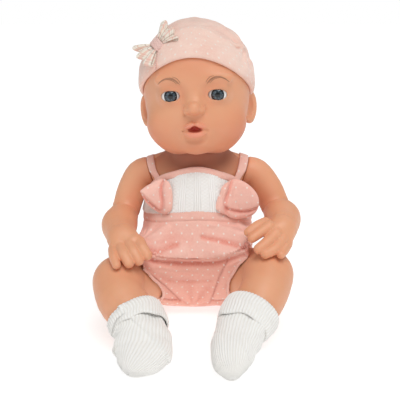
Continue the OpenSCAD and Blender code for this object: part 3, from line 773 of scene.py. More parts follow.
def make_arms():
    for side, name in ((1, "arm_left"), (-1, "arm_right")):
        points, quads = arm_clay(side).surface()
        piece(name + "_skin", points, quads, name, SKIN, [name],
              values={"blush_and_shade": arm_blush_and_shade(points, side)})


LEGS = {
    1: [[24, 2, 26, 21], [30, -7, 28, 22], [39, -28, 36, 21], [50, -48, 44, 19.5], [54, -60, 46, 19],
        [50, -76, 40, 18.5], [42, -89, 31.5, 17.5], [34, -99, 25, 16], [27, -113, 17.5, 14],
        [24, -128, 13.6, 12]],
    -1: [[24, 2, 26, 21], [31, -7, 28, 22], [43, -28, 34, 21], [57, -50, 40, 19.5], [60.5, -62, 41, 19],
         [57, -78, 35.5, 18.5], [48, -90, 28.5, 17.5], [41, -99, 22.5, 16], [37, -111, 17, 14.5],
         [36, -121, 13.6, 12]]}


def leg_clay(side):
    keys = mirrored(LEGS[side], side)
    edge = sorted((side * 20.0, side * 84.0))
    clay = Clay([edge[0], -134, 0.5], [edge[1], 28, 70], 0.8)
    thin = [[*k[:3], k[3] - (0.4 if i < 7 else 3.2)] for i, k in enumerate(keys)]     # thinner in the sock
    clay.add(tube(curve(thin, 3)))
    k = np.array(keys)
    clay.add(ellipsoid(k[4, :3] + (0, -1, 3), (17.6, 17, 16.6)), 5)
    clay.carve(ring_groove(k[5, :3] + (0, 13, -12), (side, 0.3, 0.2), 9, 0.8), 3)
    clay.carve(beyond((side * 24, 0, 0), (-side, 0, 0)), 1)
    return clay


def make_legs():
    for side, name in ((1, "leg_left"), (-1, "leg_right")):
        points, quads = leg_clay(side).surface()
        k = np.array(mirrored(LEGS[side], side))
        # Ruddy spots on a leg: painted shade in the hip's crease, under the knee and under the inner shin.
        blush_and_shade = sprayed(points, (0.45, k[0, :3] + (0, -8, 6), (22, 22, 26)),
                        (0.3, k[4, :3] + (0, -16, -4), (13, 9, 11)),
                        (0.3, k[6, :3] + (-side * 12, 6, -8), (14, 18, 14)))
        piece(name + "_skin", points, quads, name, SKIN, [name],
              values={"blush_and_shade": np.clip(blush_and_shade, 0, 0.7)})


# ---------------------------------------------------------------- cloth materials

PINK = (0.93, 0.55, 0.46)
# The cap's pink, paler than the romper's for the strong light on top of the head: painted light.
LIT_PINK = (0.95, 0.66, 0.56)


def dots(p, uv, across=8.6, down=11.4, radius=0.72):
    """White printed dots in staggered rows; uv is in millimetres of cloth."""
    parts = p.node("SeparateXYZ", {0: uv}).outputs
    nearest = None
    for shift in (0.0, 0.5):
        offset = []
        for axis, pitch in ((parts[0], across), (parts[1], down)):
            turns = p.math("ADD", p.math("DIVIDE", axis, pitch), shift)
            offset.append(p.math("MULTIPLY", p.math("SUBTRACT", p.math("FRACT", turns), 0.5), pitch))
        far = p.math("SQRT", p.math("ADD", p.math("POWER", p.math("ABSOLUTE", offset[0]), 2.0),
                                    p.math("POWER", p.math("ABSOLUTE", offset[1]), 2.0)))
        nearest = far if nearest is None else p.math("MINIMUM", nearest, far)
    return p.range(nearest, radius + 0.22, radius - 0.22)


def knit_height(p, uv, pitch=0.55):
    """The small V stitches of jersey: rows crossed with wales."""
    parts = p.node("SeparateXYZ", {0: uv}).outputs
    wales = p.math("SINE", p.math("MULTIPLY", parts[0], 6.283 / pitch))
    rows = p.math("SINE", p.math("ADD", p.math("MULTIPLY", parts[1], 6.283 / (pitch * 0.8)),
                                 p.math("MULTIPLY", wales, 1.2)))
    return p.math("ADD", p.math("MULTIPLY", wales, 0.5), p.math("MULTIPLY", rows, 0.35))


def jersey(name, colour=PINK, dotted=True):
    p = Paint(name, colour, 0.88, Sheen_Weight=0.35, Sheen_Roughness=0.5, Subsurface_Weight=0.08,
              Subsurface_Scale=0.002)
    p.set("Subsurface Radius", (1.0, 0.5, 0.4))
    uv = p.uv()
    deep = tuple(c * f for c, f in zip(colour, (0.95, 0.86, 0.84)))
    c = p.mix(p.range(p.noise(45.0), 0.3, 0.72), colour, deep)
    # Deeper coral low on the romper: painted shade for its lower front.
    c = p.mix(p.value("low"), c, (0.93, 0.44, 0.34))
    # Dark coral along the sewn seams: painted shade in their grooves.
    c = p.mix(p.value("seam"), c, (0.55, 0.16, 0.12))
    # Deeper coral in the folds' hollows: painted shade.
    c = p.mix(p.value("fold"), c, (0.80, 0.27, 0.20))
    c = p.mix(p.range(p.noise(700.0, 3.0), 0.35, 0.7, 0.0, 0.22), c, tuple(min(1, k * 1.25) for k in colour))
    if dotted:
        c = p.mix(p.math("MULTIPLY", dots(p, uv), 0.7), c, (0.94, 0.84, 0.78))
    p.colour(c)
    p.worn(260.0, 0.8, 0.95)
    p.bump(knit_height(p, uv), 0.00010, 0.55)
    return p.material


def white_knit(name):
    """White cotton rib with painted shade in the hollows between its ribs, and loose fuzz."""
    p = Paint(name, (0.92, 0.915, 0.89), 0.92, Sheen_Weight=0.3, Sheen_Roughness=0.5)
    # Creamy grey between the ribs: painted shade.
    c = p.mix(p.value("hollow"), (0.93, 0.925, 0.905), (0.80, 0.77, 0.715))
    c = p.mix(p.range(p.noise(60.0), 0.35, 0.75, 0.0, 0.35), c, (0.87, 0.85, 0.80))
    p.colour(c)
    p.worn(400.0, 0.84, 0.97)
    p.bump(knit_height(p, p.uv(), 0.7), 0.00012, 0.5)
    return p.material


JERSEY = jersey("dotted_jersey")
CAP_CLOTH = jersey("cap_jersey", LIT_PINK)
# The crown's cloth leaves out the dots, which the strong light on top washes out: painted light.
LIT_CROWN_CLOTH = jersey("crown_jersey_lit", LIT_PINK, dotted=False)
RIB = white_knit("white_rib_knit")
SOCK = white_knit("sock_knit")


# ---------------------------------------------------------------- cap

HEAD_O = np.array([MIDDLE, -2, 176.0])
CAP_COLUMNS = 260
CAP_ROWS = 90


def to_ellipsoid(d, c, s):
    """How far it is from the middle of the head to an ellipsoid at c with half axes s, in directions d."""
    o, e = (HEAD_O - c) / s, d / s
    h = (o * e).sum(-1)
    return (np.sqrt(np.maximum(0, h * h - (e * e).sum(-1) * ((o * o).sum() - 1))) - h) / (e * e).sum(-1)


def ray(lon, lat):
    """Directions from the middle of the head; longitude 0 is the face and 90 its left."""
    a, b = np.radians(lon), np.radians(lat)
    return np.stack([np.sin(a) * np.cos(b), -np.cos(a) * np.cos(b), np.sin(b) + 0 * a], -1)


def skull_point(lon, lat, out):
    d = ray(lon, lat)
    r = to_ellipsoid(d, np.array([MIDDLE, 0, 189]), np.array([42.5, 45, 45.5]))
    return HEAD_O + (r + out)[..., None] * d


def cap_edge(lon):
    a = np.radians(lon)
    return 9.5 + 25.5 * np.cos(a) + 5 * np.cos(2 * a) - 1.5 * np.sin(a)


def band_height(lon):
    """In degrees of latitude above the edge."""
    return 22 + 6 * np.cos(np.radians(lon))


def gather(lon, lat):
    """The pinched place high on the cap's left side: a small tuft and creases that run from it."""
    x = (lon - 70) * np.cos(np.radians(lat))
    y = lat - 44
    far = np.hypot(x, y)
    a = np.arctan2(y, x)
    creases = np.cos(7 * a + 0.06 * far) * np.exp(-far / 16) * np.clip(far / 5, 0, 1)
    return 2.8 * np.exp(-(far / 4.5) ** 2) + 2.0 * creases


def cap_out(lon, lat, base):
    """How far the cap's cloth stands off the skull, with its soft waves."""
    p = ray(lon, lat).reshape(-1, 3) * 45
    waves = wave(p, 26, 3, 2).reshape(lon.shape)
    tension = 0.16 * np.sin(lat * 0.9 + 5 * np.sin(np.radians(lon + 20))) * np.exp(-((lon - 30) / 50) ** 2)
    return base + 0.32 * waves + tension + gather(lon, lat)


def make_cap():
    cols = np.linspace(-180, 180, CAP_COLUMNS, endpoint=False)
    lon = np.broadcast_to(cols, (CAP_ROWS, CAP_COLUMNS))
    t = np.linspace(0, 1, CAP_ROWS)[:, None] ** 0.85
    low = cap_edge(lon) + 1.5
    lat = low + t * (89.6 - low)
    above = lat - cap_edge(lon) - band_height(lon)
    puff = 1.3 * np.sin(np.clip((above - 1) / 60, 0, 1) * math.pi) ** 0.6 - 0.6 * np.exp(-(above / 2.5) ** 2)
    p = skull_point(lon, lat, cap_out(lon, lat, 0.75) + puff)
    faces, uv = net(p, loop=True)
    size = np.array([2 * math.pi * 40 / CAP_COLUMNS, 82 / CAP_ROWS])
    crown = piece("cap_crown", on_head(p), faces, "head", LIT_CROWN_CLOTH, ["cap"],
                  corner_uv=uv * size, solidify=0.7)
    make_band(cols)


def make_band(cols):
    """The wide double band round the cap: its rolled edge over the brow, and its seam against the crown."""
    profile = [(0.03, 0.75), (0.0, 1.0), (-0.02, 1.7), (0.0, 2.6), (0.05, 3.1), (0.12, 3.25)]
    profile += [(f, 3.25 + 0.15 * math.sin(f * 7)) for f in np.linspace(0.18, 0.88, 26)]
    profile += [(0.94, 3.3), (0.98, 3.0), (1.0, 2.3), (0.99, 1.5), (0.95, 1.2)]
    f, out = np.array(profile).T
    lon = np.broadcast_to(cols, (len(f), len(cols)))
    lat = cap_edge(lon) + f[:, None] * band_height(lon)
    swell = cap_out(lon, lat, 0) * np.clip(out[:, None] - 1, 0, 1)
    p = skull_point(lon, lat, out[:, None] + swell)
    faces, uv = net(p, loop=True)
    along = lengths(p[:, CAP_COLUMNS // 2])
    uv = np.stack([uv[..., 0] * 2 * math.pi * 44 / CAP_COLUMNS, along[uv[..., 1].astype(int)]], -1)
    band = piece("cap_band", on_head(p), faces, "head", CAP_CLOTH, ["cap_brim"],
                 corner_uv=uv, solidify=0.5)


# ---------------------------------------------------------------- bow

BOW = np.array([-29.2, -24.5, 216.2])
BOW_UP = unit(np.array([-0.46, -0.66, 0.60]))
BOW_LONG = unit(np.array([0.64, -0.10, 0.76]) - BOW_UP * np.dot(BOW_UP, [0.64, -0.10, 0.76]))
BOW_WIDE = np.cross(BOW_UP, BOW_LONG)


def on_bow(x, y, z):
    return BOW + 1.14 * (x[..., None] * BOW_LONG + y[..., None] * BOW_WIDE + z[..., None] * BOW_UP)


CORAL, BROWN = (0.80, 0.36, 0.27), (0.38, 0.22, 0.17)
# The plaid's lines, each (axis, pitch, shift, half width, colour, strength).
PLAID = [(0, 7.5, 0.3, 0.10, CORAL, 0.5), (1, 6.5, 0.5, 0.09, CORAL, 0.42),
         (0, 7.5, 0.62, 0.035, BROWN, 0.55), (1, 6.5, 0.15, 0.035, BROWN, 0.5)]


def ribbon_check():
    """Cream ribbon with coral and brown lines that cross in a plaid."""
    p = Paint("check_ribbon", (0.83, 0.72, 0.58), 0.7, Sheen_Weight=0.2)
    parts = p.node("SeparateXYZ", {0: p.uv()}).outputs
    c = p.mix(p.range(p.noise(200.0), 0.3, 0.7), (0.91, 0.84, 0.74), (0.86, 0.77, 0.65))
    for axis, pitch, shift, half, tone, most in PLAID:
        turns = p.math("ADD", p.math("DIVIDE", parts[axis], pitch), shift)
        stripe = p.math("ABSOLUTE", p.math("SUBTRACT", p.math("FRACT", turns), 0.5))
        c = p.mix(p.math("MULTIPLY", p.range(stripe, half + 0.02, half - 0.02), most), c, tone)
    p.colour(c)
    p.worn(500.0, 0.6, 0.8)
    p.bump(knit_height(p, p.uv(), 0.4), 0.00006, 0.6)
    return p.material


def make_bow():
    """Two pleated loops that fan out from a wrapped knot."""
    finish = ribbon_check()
    parts, uvs = [], []
    u, v = np.meshgrid(np.linspace(-1, 1, 61), np.linspace(0, 1, 40))
    for side in (1, -1):
        turn = np.clip((v - 0.5) / 0.12, -1, 1)               # over the top, round the end, and back below
        reach = np.sin(np.clip(v * 1.02, 0, 1) * math.pi) ** 0.75
        width = 2.8 + 9.2 * reach ** 0.9
        fan = np.cos(u * math.pi * 2.5 + 0.5 * side)
        pleat = fan * (0.35 + 1.35 * reach)
        x = side * (2.2 + (11.8 + 1.6 * fan - 1.8 * u * u) * reach)
        z = 1.9 - turn * 1.15 * np.clip(reach * 2, 0.2, 1) + 0.85 * pleat + 1.3 * reach - 0.05 * (x / 4) ** 2
        y = u * width * (1 + 0.06 * side * u)
        p = on_bow(x, y, z)
        faces, uv = net(p)
        parts.append((p, faces))
        uvs.append(uv * (20 / 60, 30 / 39))
    points, faces = joined(parts)
    loops = piece("bow_ribbon", points, faces, "head", finish, ["bow_loops"],
                  corner_uv=np.vstack(uvs), solidify=0.35)
    make_knot()


def make_knot():
    """The ribbon wrapped round the bow's middle, and its loose end below."""
    p = Paint("dotted_ribbon", (0.80, 0.52, 0.46), 0.7, Sheen_Weight=0.2)
    c = p.mix(p.noise(150.0), (0.84, 0.60, 0.54), (0.78, 0.50, 0.44))
    p.colour(p.mix(p.math("MULTIPLY", dots(p, p.uv(), 1.5, 1.9, 0.3), 0.7), c, (0.50, 0.30, 0.27)))
    p.worn(500.0, 0.6, 0.8)
    a, w = np.meshgrid(full_turn(48), np.linspace(-1, 1, 17))
    bulge = 1 - 0.12 * np.abs(w) ** 3 + 0.05 * np.cos(w * 9)
    q = on_bow(w * 3.3, np.sin(a) * 5.4 * bulge, 1.6 + np.cos(a) * 3.0 * bulge)
    faces, uv = net(q, loop=True)
    parts, uvs = [(q, faces)], [uv * (27 / 48, 6.6 / 16)]
    t, s = np.meshgrid(np.linspace(0, 1, 14), np.linspace(-1, 1, 5))
    q = on_bow(-1.6 - 9 * t + s * 0.2, -5.2 - 8.5 * t + 0 * s, 1.2 - 2.2 * t + s * 0.9)
    faces, uv = net(q)
    parts.append((q, faces))
    uvs.append(uv * (12 / 13, 2 / 4))
    points, faces = joined(parts)
    knot = piece("bow_wrap", points, faces, "head", p.material, ["bow_knot"],
                 corner_uv=np.vstack(uvs), solidify=0.3)


# ---------------------------------------------------------------- bodice and straps

def pressed(clay, start, toward, out):
    """Points moved from outside along `toward` until they are `out` from the clay's surface."""
    p = start.reshape(-1, 3).astype(float)
    d = np.broadcast_to(toward, start.shape).reshape(-1, 3)
    gap = np.broadcast_to(out, start.shape[:2]).ravel()
    for _ in range(40):
        p = p + d * (0.85 * np.clip(clay.sample(p) - gap, -2, 6))[:, None]
    return p.reshape(start.shape)


def around(theta, z, r=56.0):
    """Points round the torso at angles in degrees, 0 in front and 90 at its left."""
    a = np.radians(theta)
    return np.stack([r * np.sin(a), -r * np.cos(a) * 0.9, z + 0 * a], -1), \
        np.stack([-np.sin(a), np.cos(a) * 0.9, 0 * a + 0 * z], -1)


NECKLINE = [[-180, 109], [-130, 107], [-98, 96.5], [-80, 96.5], [-62, 109.5], [-40, 117.5], [0, 123.2],
            [40, 117], [62, 108.5], [80, 96.5], [98, 96.5], [130, 107], [180, 109]]     # angle, height


def neckline(theta):
    """Height of the bodice's top edge; it dips under the arms."""
    fine = curve(NECKLINE, 8)
    return np.interp(theta, fine[:, 0], fine[:, 1])


def make_bodice(chest):
    cols, rows = 900, 60
    theta = np.broadcast_to(np.linspace(-180, 180, cols, endpoint=False), (rows, cols))
    top = neckline(theta)
    low = waist_height(around(theta, 0 * theta)[0]) - 6          # its lower edge is under the romper's band
    z = low + (top - low) * np.linspace(0, 1, rows)[:, None]
    turns = np.radians(theta) * 20
    group = np.clip(2.4 * np.cos(turns) + 0.6, 0, 1)             # fine ribs in groups, lace holes between
    lace = 0.5 + 0.5 * np.cos(turns * 3) * np.cos(z * 2.4)
    rib = (0.5 + 0.5 * np.cos(turns * 7)) * group + (1 - group) * lace
    start, inward = around(theta, z)
    under = np.clip((waist_height(start) - 1 - z) / 2, 0, 1)
    p = pressed(chest, start, inward, 0.85 + 0.34 * rib ** 0.8 - 1.3 * under)
    faces, uv = net(p, loop=True)
    # Its value of painted shade is strongest between the ribs and in the lace holes.
    bib = piece("bodice_rib", p, faces, "torso", RIB, ["bodice"],
                corner_uv=uv * (230 / cols, 42 / rows), values={"hollow": (1 - rib).ravel() * 0.5},
                solidify=0.5)


def binding(path, normals, width, thick, sides=10):
    """A folded binding: a flat rounded tube whose width lies along the cloth."""
    along = unit(np.gradient(path, axis=0))
    n = unit(normals - along * (normals * along).sum(1, keepdims=True))
    w = np.cross(along, n)
    a = full_turn(sides)
    c, s = (np.sign(f) * np.abs(f) ** 0.7 for f in (np.cos(a), np.sin(a)))     # squarer than a circle
    ring = path[:, None] + width / 2 * c[:, None] * w[:, None] + thick / 2 * s[:, None] * n[:, None]
    faces, uv = net(ring, loop=True)
    uv = np.stack([lengths(path)[uv[..., 1].astype(int)], uv[..., 0] * width * 2 / sides], -1)
    return ring, faces, uv


def make_neckline(chest):
    theta = np.linspace(-180, 180, 240)
    z = neckline(theta)
    start, inward = around(theta, z - 1.6)
    p = pressed(chest, start[None], inward[None], 1.5)[0]
    points, faces, uv = binding(p, -inward, 5.6, 1.9)
    trim = piece("neckline_trim", points, faces, "torso", JERSEY, ["neckline_binding"],
                 corner_uv=uv)


def settled(clay, points, out, rounds=14):
    """Points moved to the nearest place that is `out` from the clay's surface."""
    p = points.reshape(-1, 3).astype(float)
    gap = np.broadcast_to(out, points.shape[:-1]).ravel()
    for _ in range(rounds):
        n = unit(clay.slope(p))
        p = p - 0.7 * np.clip(clay.sample(p) - gap, -2, 2)[:, None] * n
    return p.reshape(points.shape)


STRAP = [[31.5, -25, 105], [33.5, -21.5, 111], [35.8, -15, 120.5], [36.8, -7, 126], [37, 1, 127.5],
         [36.8, 9, 125.5], [35.6, 16, 119], [33.5, 21, 111], [31.5, 24.5, 104]]


def make_straps(chest):
    for side, name in ((1, "strap_left"), (-1, "strap_right")):
        path = curve(STRAP, 8) * (side, 1, 1)
        path[:, 0] += (0.8 if side > 0 else -2.2) * np.clip((path[:, 2] - 108) / 12, 0, 1)
        w = np.linspace(-1, 1, 9)
        p = path[:, None] + 3.7 * w[None, :, None] * np.array([1.0, 0, 0])
        p = settled(chest, p, 0.85 + 0.2 * (1 - w[None] ** 6) + 0 * p[..., 0])
        faces, uv = net(p)
        if side < 0:
            faces = faces[:, ::-1]
            uv = uv[:, ::-1]
        strap = piece(name + "_ribbon", p, faces, "torso", JERSEY, [name],
                      corner_uv=uv * (7.4 / 8, 62 / 64) + 3, solidify=0.8)


# ---------------------------------------------------------------- romper

LIP = [[-44, -62, 66], [-31, -60, 61.5], [-15, -54, 57.5], [-1, -50.5, 56], [14, -53.5, 58.5],
       [29, -59, 64.5], [41, -62, 71]]
SKIRT = [[[-40.5, -8, 84], [-33, -21, 86.5], [-18.5, -31, 90], [0, -35, 92], [18.5, -31, 90], [33, -21, 86.5],
          [40.5, -8, 84]],
         [[-44.5, -12, 74], [-36, -26, 77], [-20, -35, 79], [0, -38.5, 80], [20, -35, 79], [36, -26, 77],
          [44.5, -12, 75]],
         [[-47, -34, 68], [-36, -44, 69.5], [-19, -46, 69.5], [0, -45, 69.5], [19, -46, 70.5], [36, -44, 73],
          [46, -34, 73]],
         LIP]
PANEL = [[[x, y + 3.5, z - 1] for x, y, z in LIP],
         [[-42.5, -60, 54], [-28, -54, 50], [-14, -47, 47], [-1, -44, 46], [12, -46, 48], [26, -52, 53],
          [39, -59, 61]],
         [[-38.2, -55.5, 41], [-25, -49, 38], [-13, -43, 37], [-2, -40.5, 36], [9, -42, 37], [21, -48, 41],
          [32.8, -55, 48.8]],
         [[-34, -46, 29], [-23, -42, 27], [-12, -38.5, 26], [-3, -37, 25.5], [7, -38, 26], [17, -42, 28],
          [27.5, -46, 32]],
         [[-31.3, -37, 19], [-22, -36, 17.5], [-12, -34.5, 17], [-4, -34, 16.5], [4, -34.5, 17],
          [14, -36, 17.5], [24, -37, 18]],
         [[-30, -30, 9], [-21, -31, 9.5], [-12, -31, 9], [-4, -31, 9], [4, -31, 9], [12, -31, 9.5],
          [21.8, -30, 8.2]],
         [[-26, -16, 2], [-18, -17, 2], [-11, -17, 2], [-4, -17, 2], [3, -17, 2], [10, -17, 2], [18, -16, 2]]]


def cloth_net(rows, steps=6):
    """A smooth surface through rows of keys."""
    lines = np.array([curve(r, steps) for r in rows])
    return np.stack([curve(lines[:, i], steps) for i in range(lines.shape[1])], 1)


def filled(clay, front, narrow, back):
    """Distances, on the clay's grid, from the space behind a surface. Its rear is at y = `back` and is
    `narrow` times as wide."""
    rear = front * (narrow, 0, 1) + (0, back, 0)
    rows, cols = front.shape[:2]
    faces, _ = net(front)
    n = rows * cols
    rim = np.concatenate([np.arange(cols), np.arange(1, rows) * cols + cols - 1,
                          (rows - 1) * cols + np.arange(cols - 2, -1, -1), np.arange(rows - 2, 0, -1) * cols])
    side = np.stack([rim, np.roll(rim, -1), np.roll(rim, -1) + n, rim + n], 1)
    points = np.vstack([front.reshape(-1, 3), rear.reshape(-1, 3)])
    quads = np.vstack([faces, faces[:, ::-1] + n, side])
    voxels = ((points - clay.low) / clay.step).astype(np.float32)
    band = 8                            # in steps of the grid
    grid = openvdb.FloatGrid.createLevelSetFromPolygons(voxels, quads=quads.astype(np.uint32), halfWidth=band)
    field = np.full(clay.field.shape, band, np.float32)
    grid.copyToArray(field, ijk=(0, 0, 0))
    return field * clay.step


def thigh(side, grow):
    """A leg made thicker all round and cut off flat at the hip."""
    shape = tube(curve(mirrored(LEGS[side], side), 3) + (0, 0, 0, grow))
    flat = side * 23.4

    def distance(x, y, z):
        return np.maximum(shape.distance(x, y, z), (flat - x) * side)

    return Shape(distance, shape.low, shape.high)


def body_form(out):
    def distance(x, y, z):
        width = torso_half_width(z).astype(np.float32) + out
        return (np.sqrt(x * x + (y / 0.84) ** 2) - width) * 0.8

    return Shape(distance, np.array([-50, -44, 0]), np.array([50, 44, 100]))


def waist_height(p):
    """Height of the romper's top edge round the waist."""
    theta = np.degrees(np.arctan2(p[..., 0], -p[..., 1]))
    return np.interp(np.abs(theta), [0, 25, 45, 70, 95, 180], [92, 90.5, 88, 85, 83, 80])


def romper_clay():
    clay = Clay([-54, -70, -1], [54, 48, 99], 0.85)
    clay.add(body_form(3.2), 12)
    skirt = filled(clay, cloth_net(SKIRT), 0.8, -6)
    panel = filled(clay, cloth_net(PANEL), 0.55, -6)
    clay.field = soft_min(soft_min(clay.field, skirt, 3.0), panel, 1.2)
    clay.field = np.clip(clay.field, -FAR, FAR).astype(np.float32)
    clay.carve(beyond((0, 0, 0.8), (0, 0, -1)))
    return clay


def creases(p, centre, count, phase, reach, height):
    """Folds that run out from a pulled place, seen from the front."""
    d = p[:, [0, 2]] - np.array(centre)
    far = np.hypot(*d.T)
    a = np.arctan2(d[:, 1], d[:, 0])
    fan = np.cos(count * a + phase + 0.05 * far)
    sharp = np.sign(fan) * np.abs(fan) ** 0.8
    return height * sharp * np.exp(-(far / reach) ** 2) * np.clip(far / 7, 0, 1)


SEAMS = [[[-40, 50], [-27, 34], [-14.5, 13.5]], [[24, 57], [17, 39], [11.5, 17], [10, 10]],
         [[-28, 16.5], [-21, 14.5], [-14, 14.5]], [[11, 14.5], [16, 14], [22, 15.5]]]
PULLS = [(-2.4, 1.8, [[-43, 61], [-28, 55], [-12, 51], [0, 50], [14, 51.5], [28, 57.5], [40, 65]]),
         (1.3, 2.3, [[-42, 56], [-26, 50], [-10, 46], [2, 45.5], [16, 48], [30, 55], [40, 61]]),
         (2.4, 2.3, [[44, 73], [33, 73], [21, 76.5], [10, 81]]),
         (-2.2, 1.9, [[43, 69], [30, 68], [16, 70], [4, 72]]),
         (2.0, 2.2, [[-45, 67], [-34, 71], [-24, 78]]), (-2.0, 1.9, [[-45, 63], [-31, 64], [-16, 67]]),
         (1.3, 2.4, [[40, 66], [24, 62], [8, 61]]), (1.2, 2.4, [[-40, 62], [-26, 60], [-10, 60.5]]),
         (-1.4, 1.6, [[42, 66], [34, 53], [27, 40], [22, 28]]),
         (-1.0, 1.5, [[-43, 57], [-35, 46], [-29, 32]]),
         (1.0, 2.2, [[-30, 47], [-10, 40], [8, 41]]),
         (-0.9, 1.8, [[-22, 36], [-6, 33], [10, 35]])]                  # height, width, path


def line_distance(flat, a, b):
    """Distance of flat points from a stretch of line."""
    a, b = np.array(a, float), np.array(b, float)
    t = np.clip(((flat - a) * (b - a)).sum(-1) / ((b - a) ** 2).sum(), 0, 1)
    return np.linalg.norm(flat - a - t[..., None] * (b - a), axis=-1)


def path_distance(flat, path):
    return np.minimum.reduce([line_distance(flat, a, b) for a, b in zip(path[:-1], path[1:])])


def seams(p):
    """The sewn seams of the front panel: 1 on the line."""
    far = np.minimum.reduce([path_distance(p[:, [0, 2]], line) for line in SEAMS])
    return np.exp(-(far / 0.8) ** 2) * (p[:, 1] < -24)


def pulls(p):
    """The long folds that hang between the hands."""
    far = [path_distance(p[:, [0, 2]], curve(path, 4)) for _, _, path in PULLS]
    h = sum(height * np.exp(-(d / width) ** 2) for d, (height, width, _) in zip(far, PULLS))
    return h * np.clip((-p[:, 1] - 18) / 10, 0, 1)


def romper_waves(p):
    """How far the romper's cloth rises and falls from its plain shape."""
    front = np.clip((-p[:, 1] - 22) / 10, 0, 1)
    low = np.clip((56 - p[:, 2]) / 14, 0, 1)
    h = 0.75 * wave(p * (1, 0.6, 0.45), 15, 11, 2) + 0.3 * wave(p, 7, 4, 2) + pulls(p)
    h += front * (creases(p, (-43, 67), 12, 0.4, 26, 0.9) + creases(p, (42, 72), 12, 1.2, 28, 0.9))
    h += front * low * (creases(p, (-42, 52), 9, 0.8, 30, 0.5) + creases(p, (36, 58), 9, 2.0, 30, 0.5))
    h += front * low * creases(p, (-3, 8), 8, 0.5, 26, 0.8)
    return h


def make_romper():
    clay = romper_clay()
    rooms = [thigh(side, 1.0) for side in (1, -1)]
    for side, room in zip((1, -1), rooms):
        clay.carve(room, 0.6)
        clay.carve(tube([[side * 36, 0, 0, 9], [side * 48, 0, 12, 14]]))
    points, quads = clay.surface(6)
    top = waist_height(points) - points[:, 2]
    inner = np.minimum(*[r.distance(*points.T.astype(np.float32)) for r in rooms])
    keep = (top > 0) & (inner > 0.45)
    quads = quads[keep[quads].all(1)]
    n = unit(clay.slope(points))
    band = np.clip(top / 1.2, 0, 1) * np.clip((8.2 - top) / 1.2, 0, 1)
    seam = np.exp(-((top - 8.6) / 0.6) ** 2)
    ease = np.clip((top - 8.5) / 4, 0, 1) * np.clip((inner - 0.4) / 3, 0, 1)
    relief = romper_waves(points) * ease
    # The fold value is painted shade in the hollows of the cloth's folds.
    fold = np.clip(-relief / 2.4, 0, 0.75)
    # The seams are pressed in, and the same lines carry painted shade in the jersey.
    sewn = 0.75 * seams(points)
    points = points + n * (relief + 0.7 * band - 0.5 * seam - sewn)[:, None]
    used, inverse = np.unique(quads, return_inverse=True)
    points, quads = points[used], inverse.reshape(quads.shape)
    # The low value is painted shade, deeper towards the bottom of the romper.
    low = np.clip((60 - points[:, 2]) / 10, 0, 0.8)
    romper = piece("romper", points, quads, "torso", JERSEY, ["romper_body", "waistband"],
                   corner_uv=wrapped_uv(points, quads), solidify=0.8, subdivide=1,
                   values={"low": low, "seam": sewn[used], "fold": fold[used]})
    make_hems(points, quads)


def wrapped_uv(points, quads):
    """Cloth millimetres round the body: x across the front, then back along the sides."""
    x, y, z = points.T
    u = np.where(y < -10, x * 1.05, np.sign(x) * (46 + (y + 10) + np.clip(44 - np.abs(x), 0, 44)))
    uv = np.stack([u, z], 1)[quads]
    split = np.ptp(uv[..., 0], axis=1) > 100           # faces that cross the back, where u jumps by 274
    uv[split, :, 0] = np.where(uv[split, :, 0] < 0, uv[split, :, 0] + 274, uv[split, :, 0])
    return uv


def edge_loops(quads):
    """The open edges of a mesh as chains of point numbers, longest first."""
    edges = np.vstack([np.stack([quads[:, i], quads[:, (i + 1) % 4]], 1) for i in range(4)])
    key = np.sort(edges, 1)
    _, first, count = np.unique(key, axis=0, return_index=True, return_counts=True)
    following = {int(a): int(b) for a, b in edges[first[count == 1]]}
    loops = []
    while following:
        start = next(iter(following))
        loop, at = [], start
        while at in following:
            loop.append(at)
            at = following.pop(at)
        loops.append(loop)
    return sorted(loops, key=len, reverse=True)


def make_hems(points, quads):
    """A rolled binding sewn along the edge of each leg opening."""
    parts, uvs = {1: [], -1: []}, {1: [], -1: []}
    loops = [points[loop] for loop in edge_loops(quads) if len(loop) > 60]
    for path in loops:
        if path[:, 2].min() > 60:
            continue
        for _ in range(12):
            path = 0.5 * path + 0.25 * (np.roll(path, 1, 0) + np.roll(path, -1, 0))
        path = np.vstack([path[::2], path[:1]])
        ring, faces, uv = binding(path, np.tile([0.3, -0.8, 0.5], (len(path), 1)), 2.2, 2.0, 8)
        side = 1 if path[:, 0].mean() > 0 else -1
        parts[side].append((ring, faces))
        uvs[side].append(uv)
    for side, name in ((1, "leg_binding_left"), (-1, "leg_binding_right")):
        ring, faces = joined(parts[side])
        hem = piece(name + "_hem", ring, faces, "torso", JERSEY, [name],
                    corner_uv=np.vstack(uvs[side]))


# ---------------------------------------------------------------- ear flaps

FLAPS = {
    -1: dict(edge=[[-45.3, 105.8], [-41, 109], [-36, 111.5], [-31, 114], [-27.7, 114.9], [-23.5, 114],
                   [-20.6, 110.5], [-19.3, 104], [-19.2, 97], [-20, 91], [-24, 87.5], [-30, 86.8],
                   [-35, 89.5], [-39.5, 94], [-43.3, 100.4]],
             folds=([[-26, 115], [-28.6, 106], [-27.6, 96], [-30, 86]], [[-46, 105], [-39, 97], [-31, 89]])),
    1: dict(edge=[[17.2, 104], [19, 109.5], [24, 113.2], [30, 114.6], [36.5, 112.8], [43, 108.5],
                  [47.4, 102.5], [48.8, 96], [47.5, 90.5], [44.5, 86.5], [40, 83.4], [34, 81.8], [28, 83.2],
                  [20.5, 87.6], [14.6, 91.5], [14.2, 96], [15.4, 100.5]],
            folds=([[27, 115], [24.4, 106], [21.6, 96], [23.4, 86]],
                   [[23, 92], [32, 88.6], [41, 89.4], [49, 92.5]]))}
FLAP_FRONT, FLAP_BACK = 20, 12              # rings from the middle to the edge, and back to the middle behind


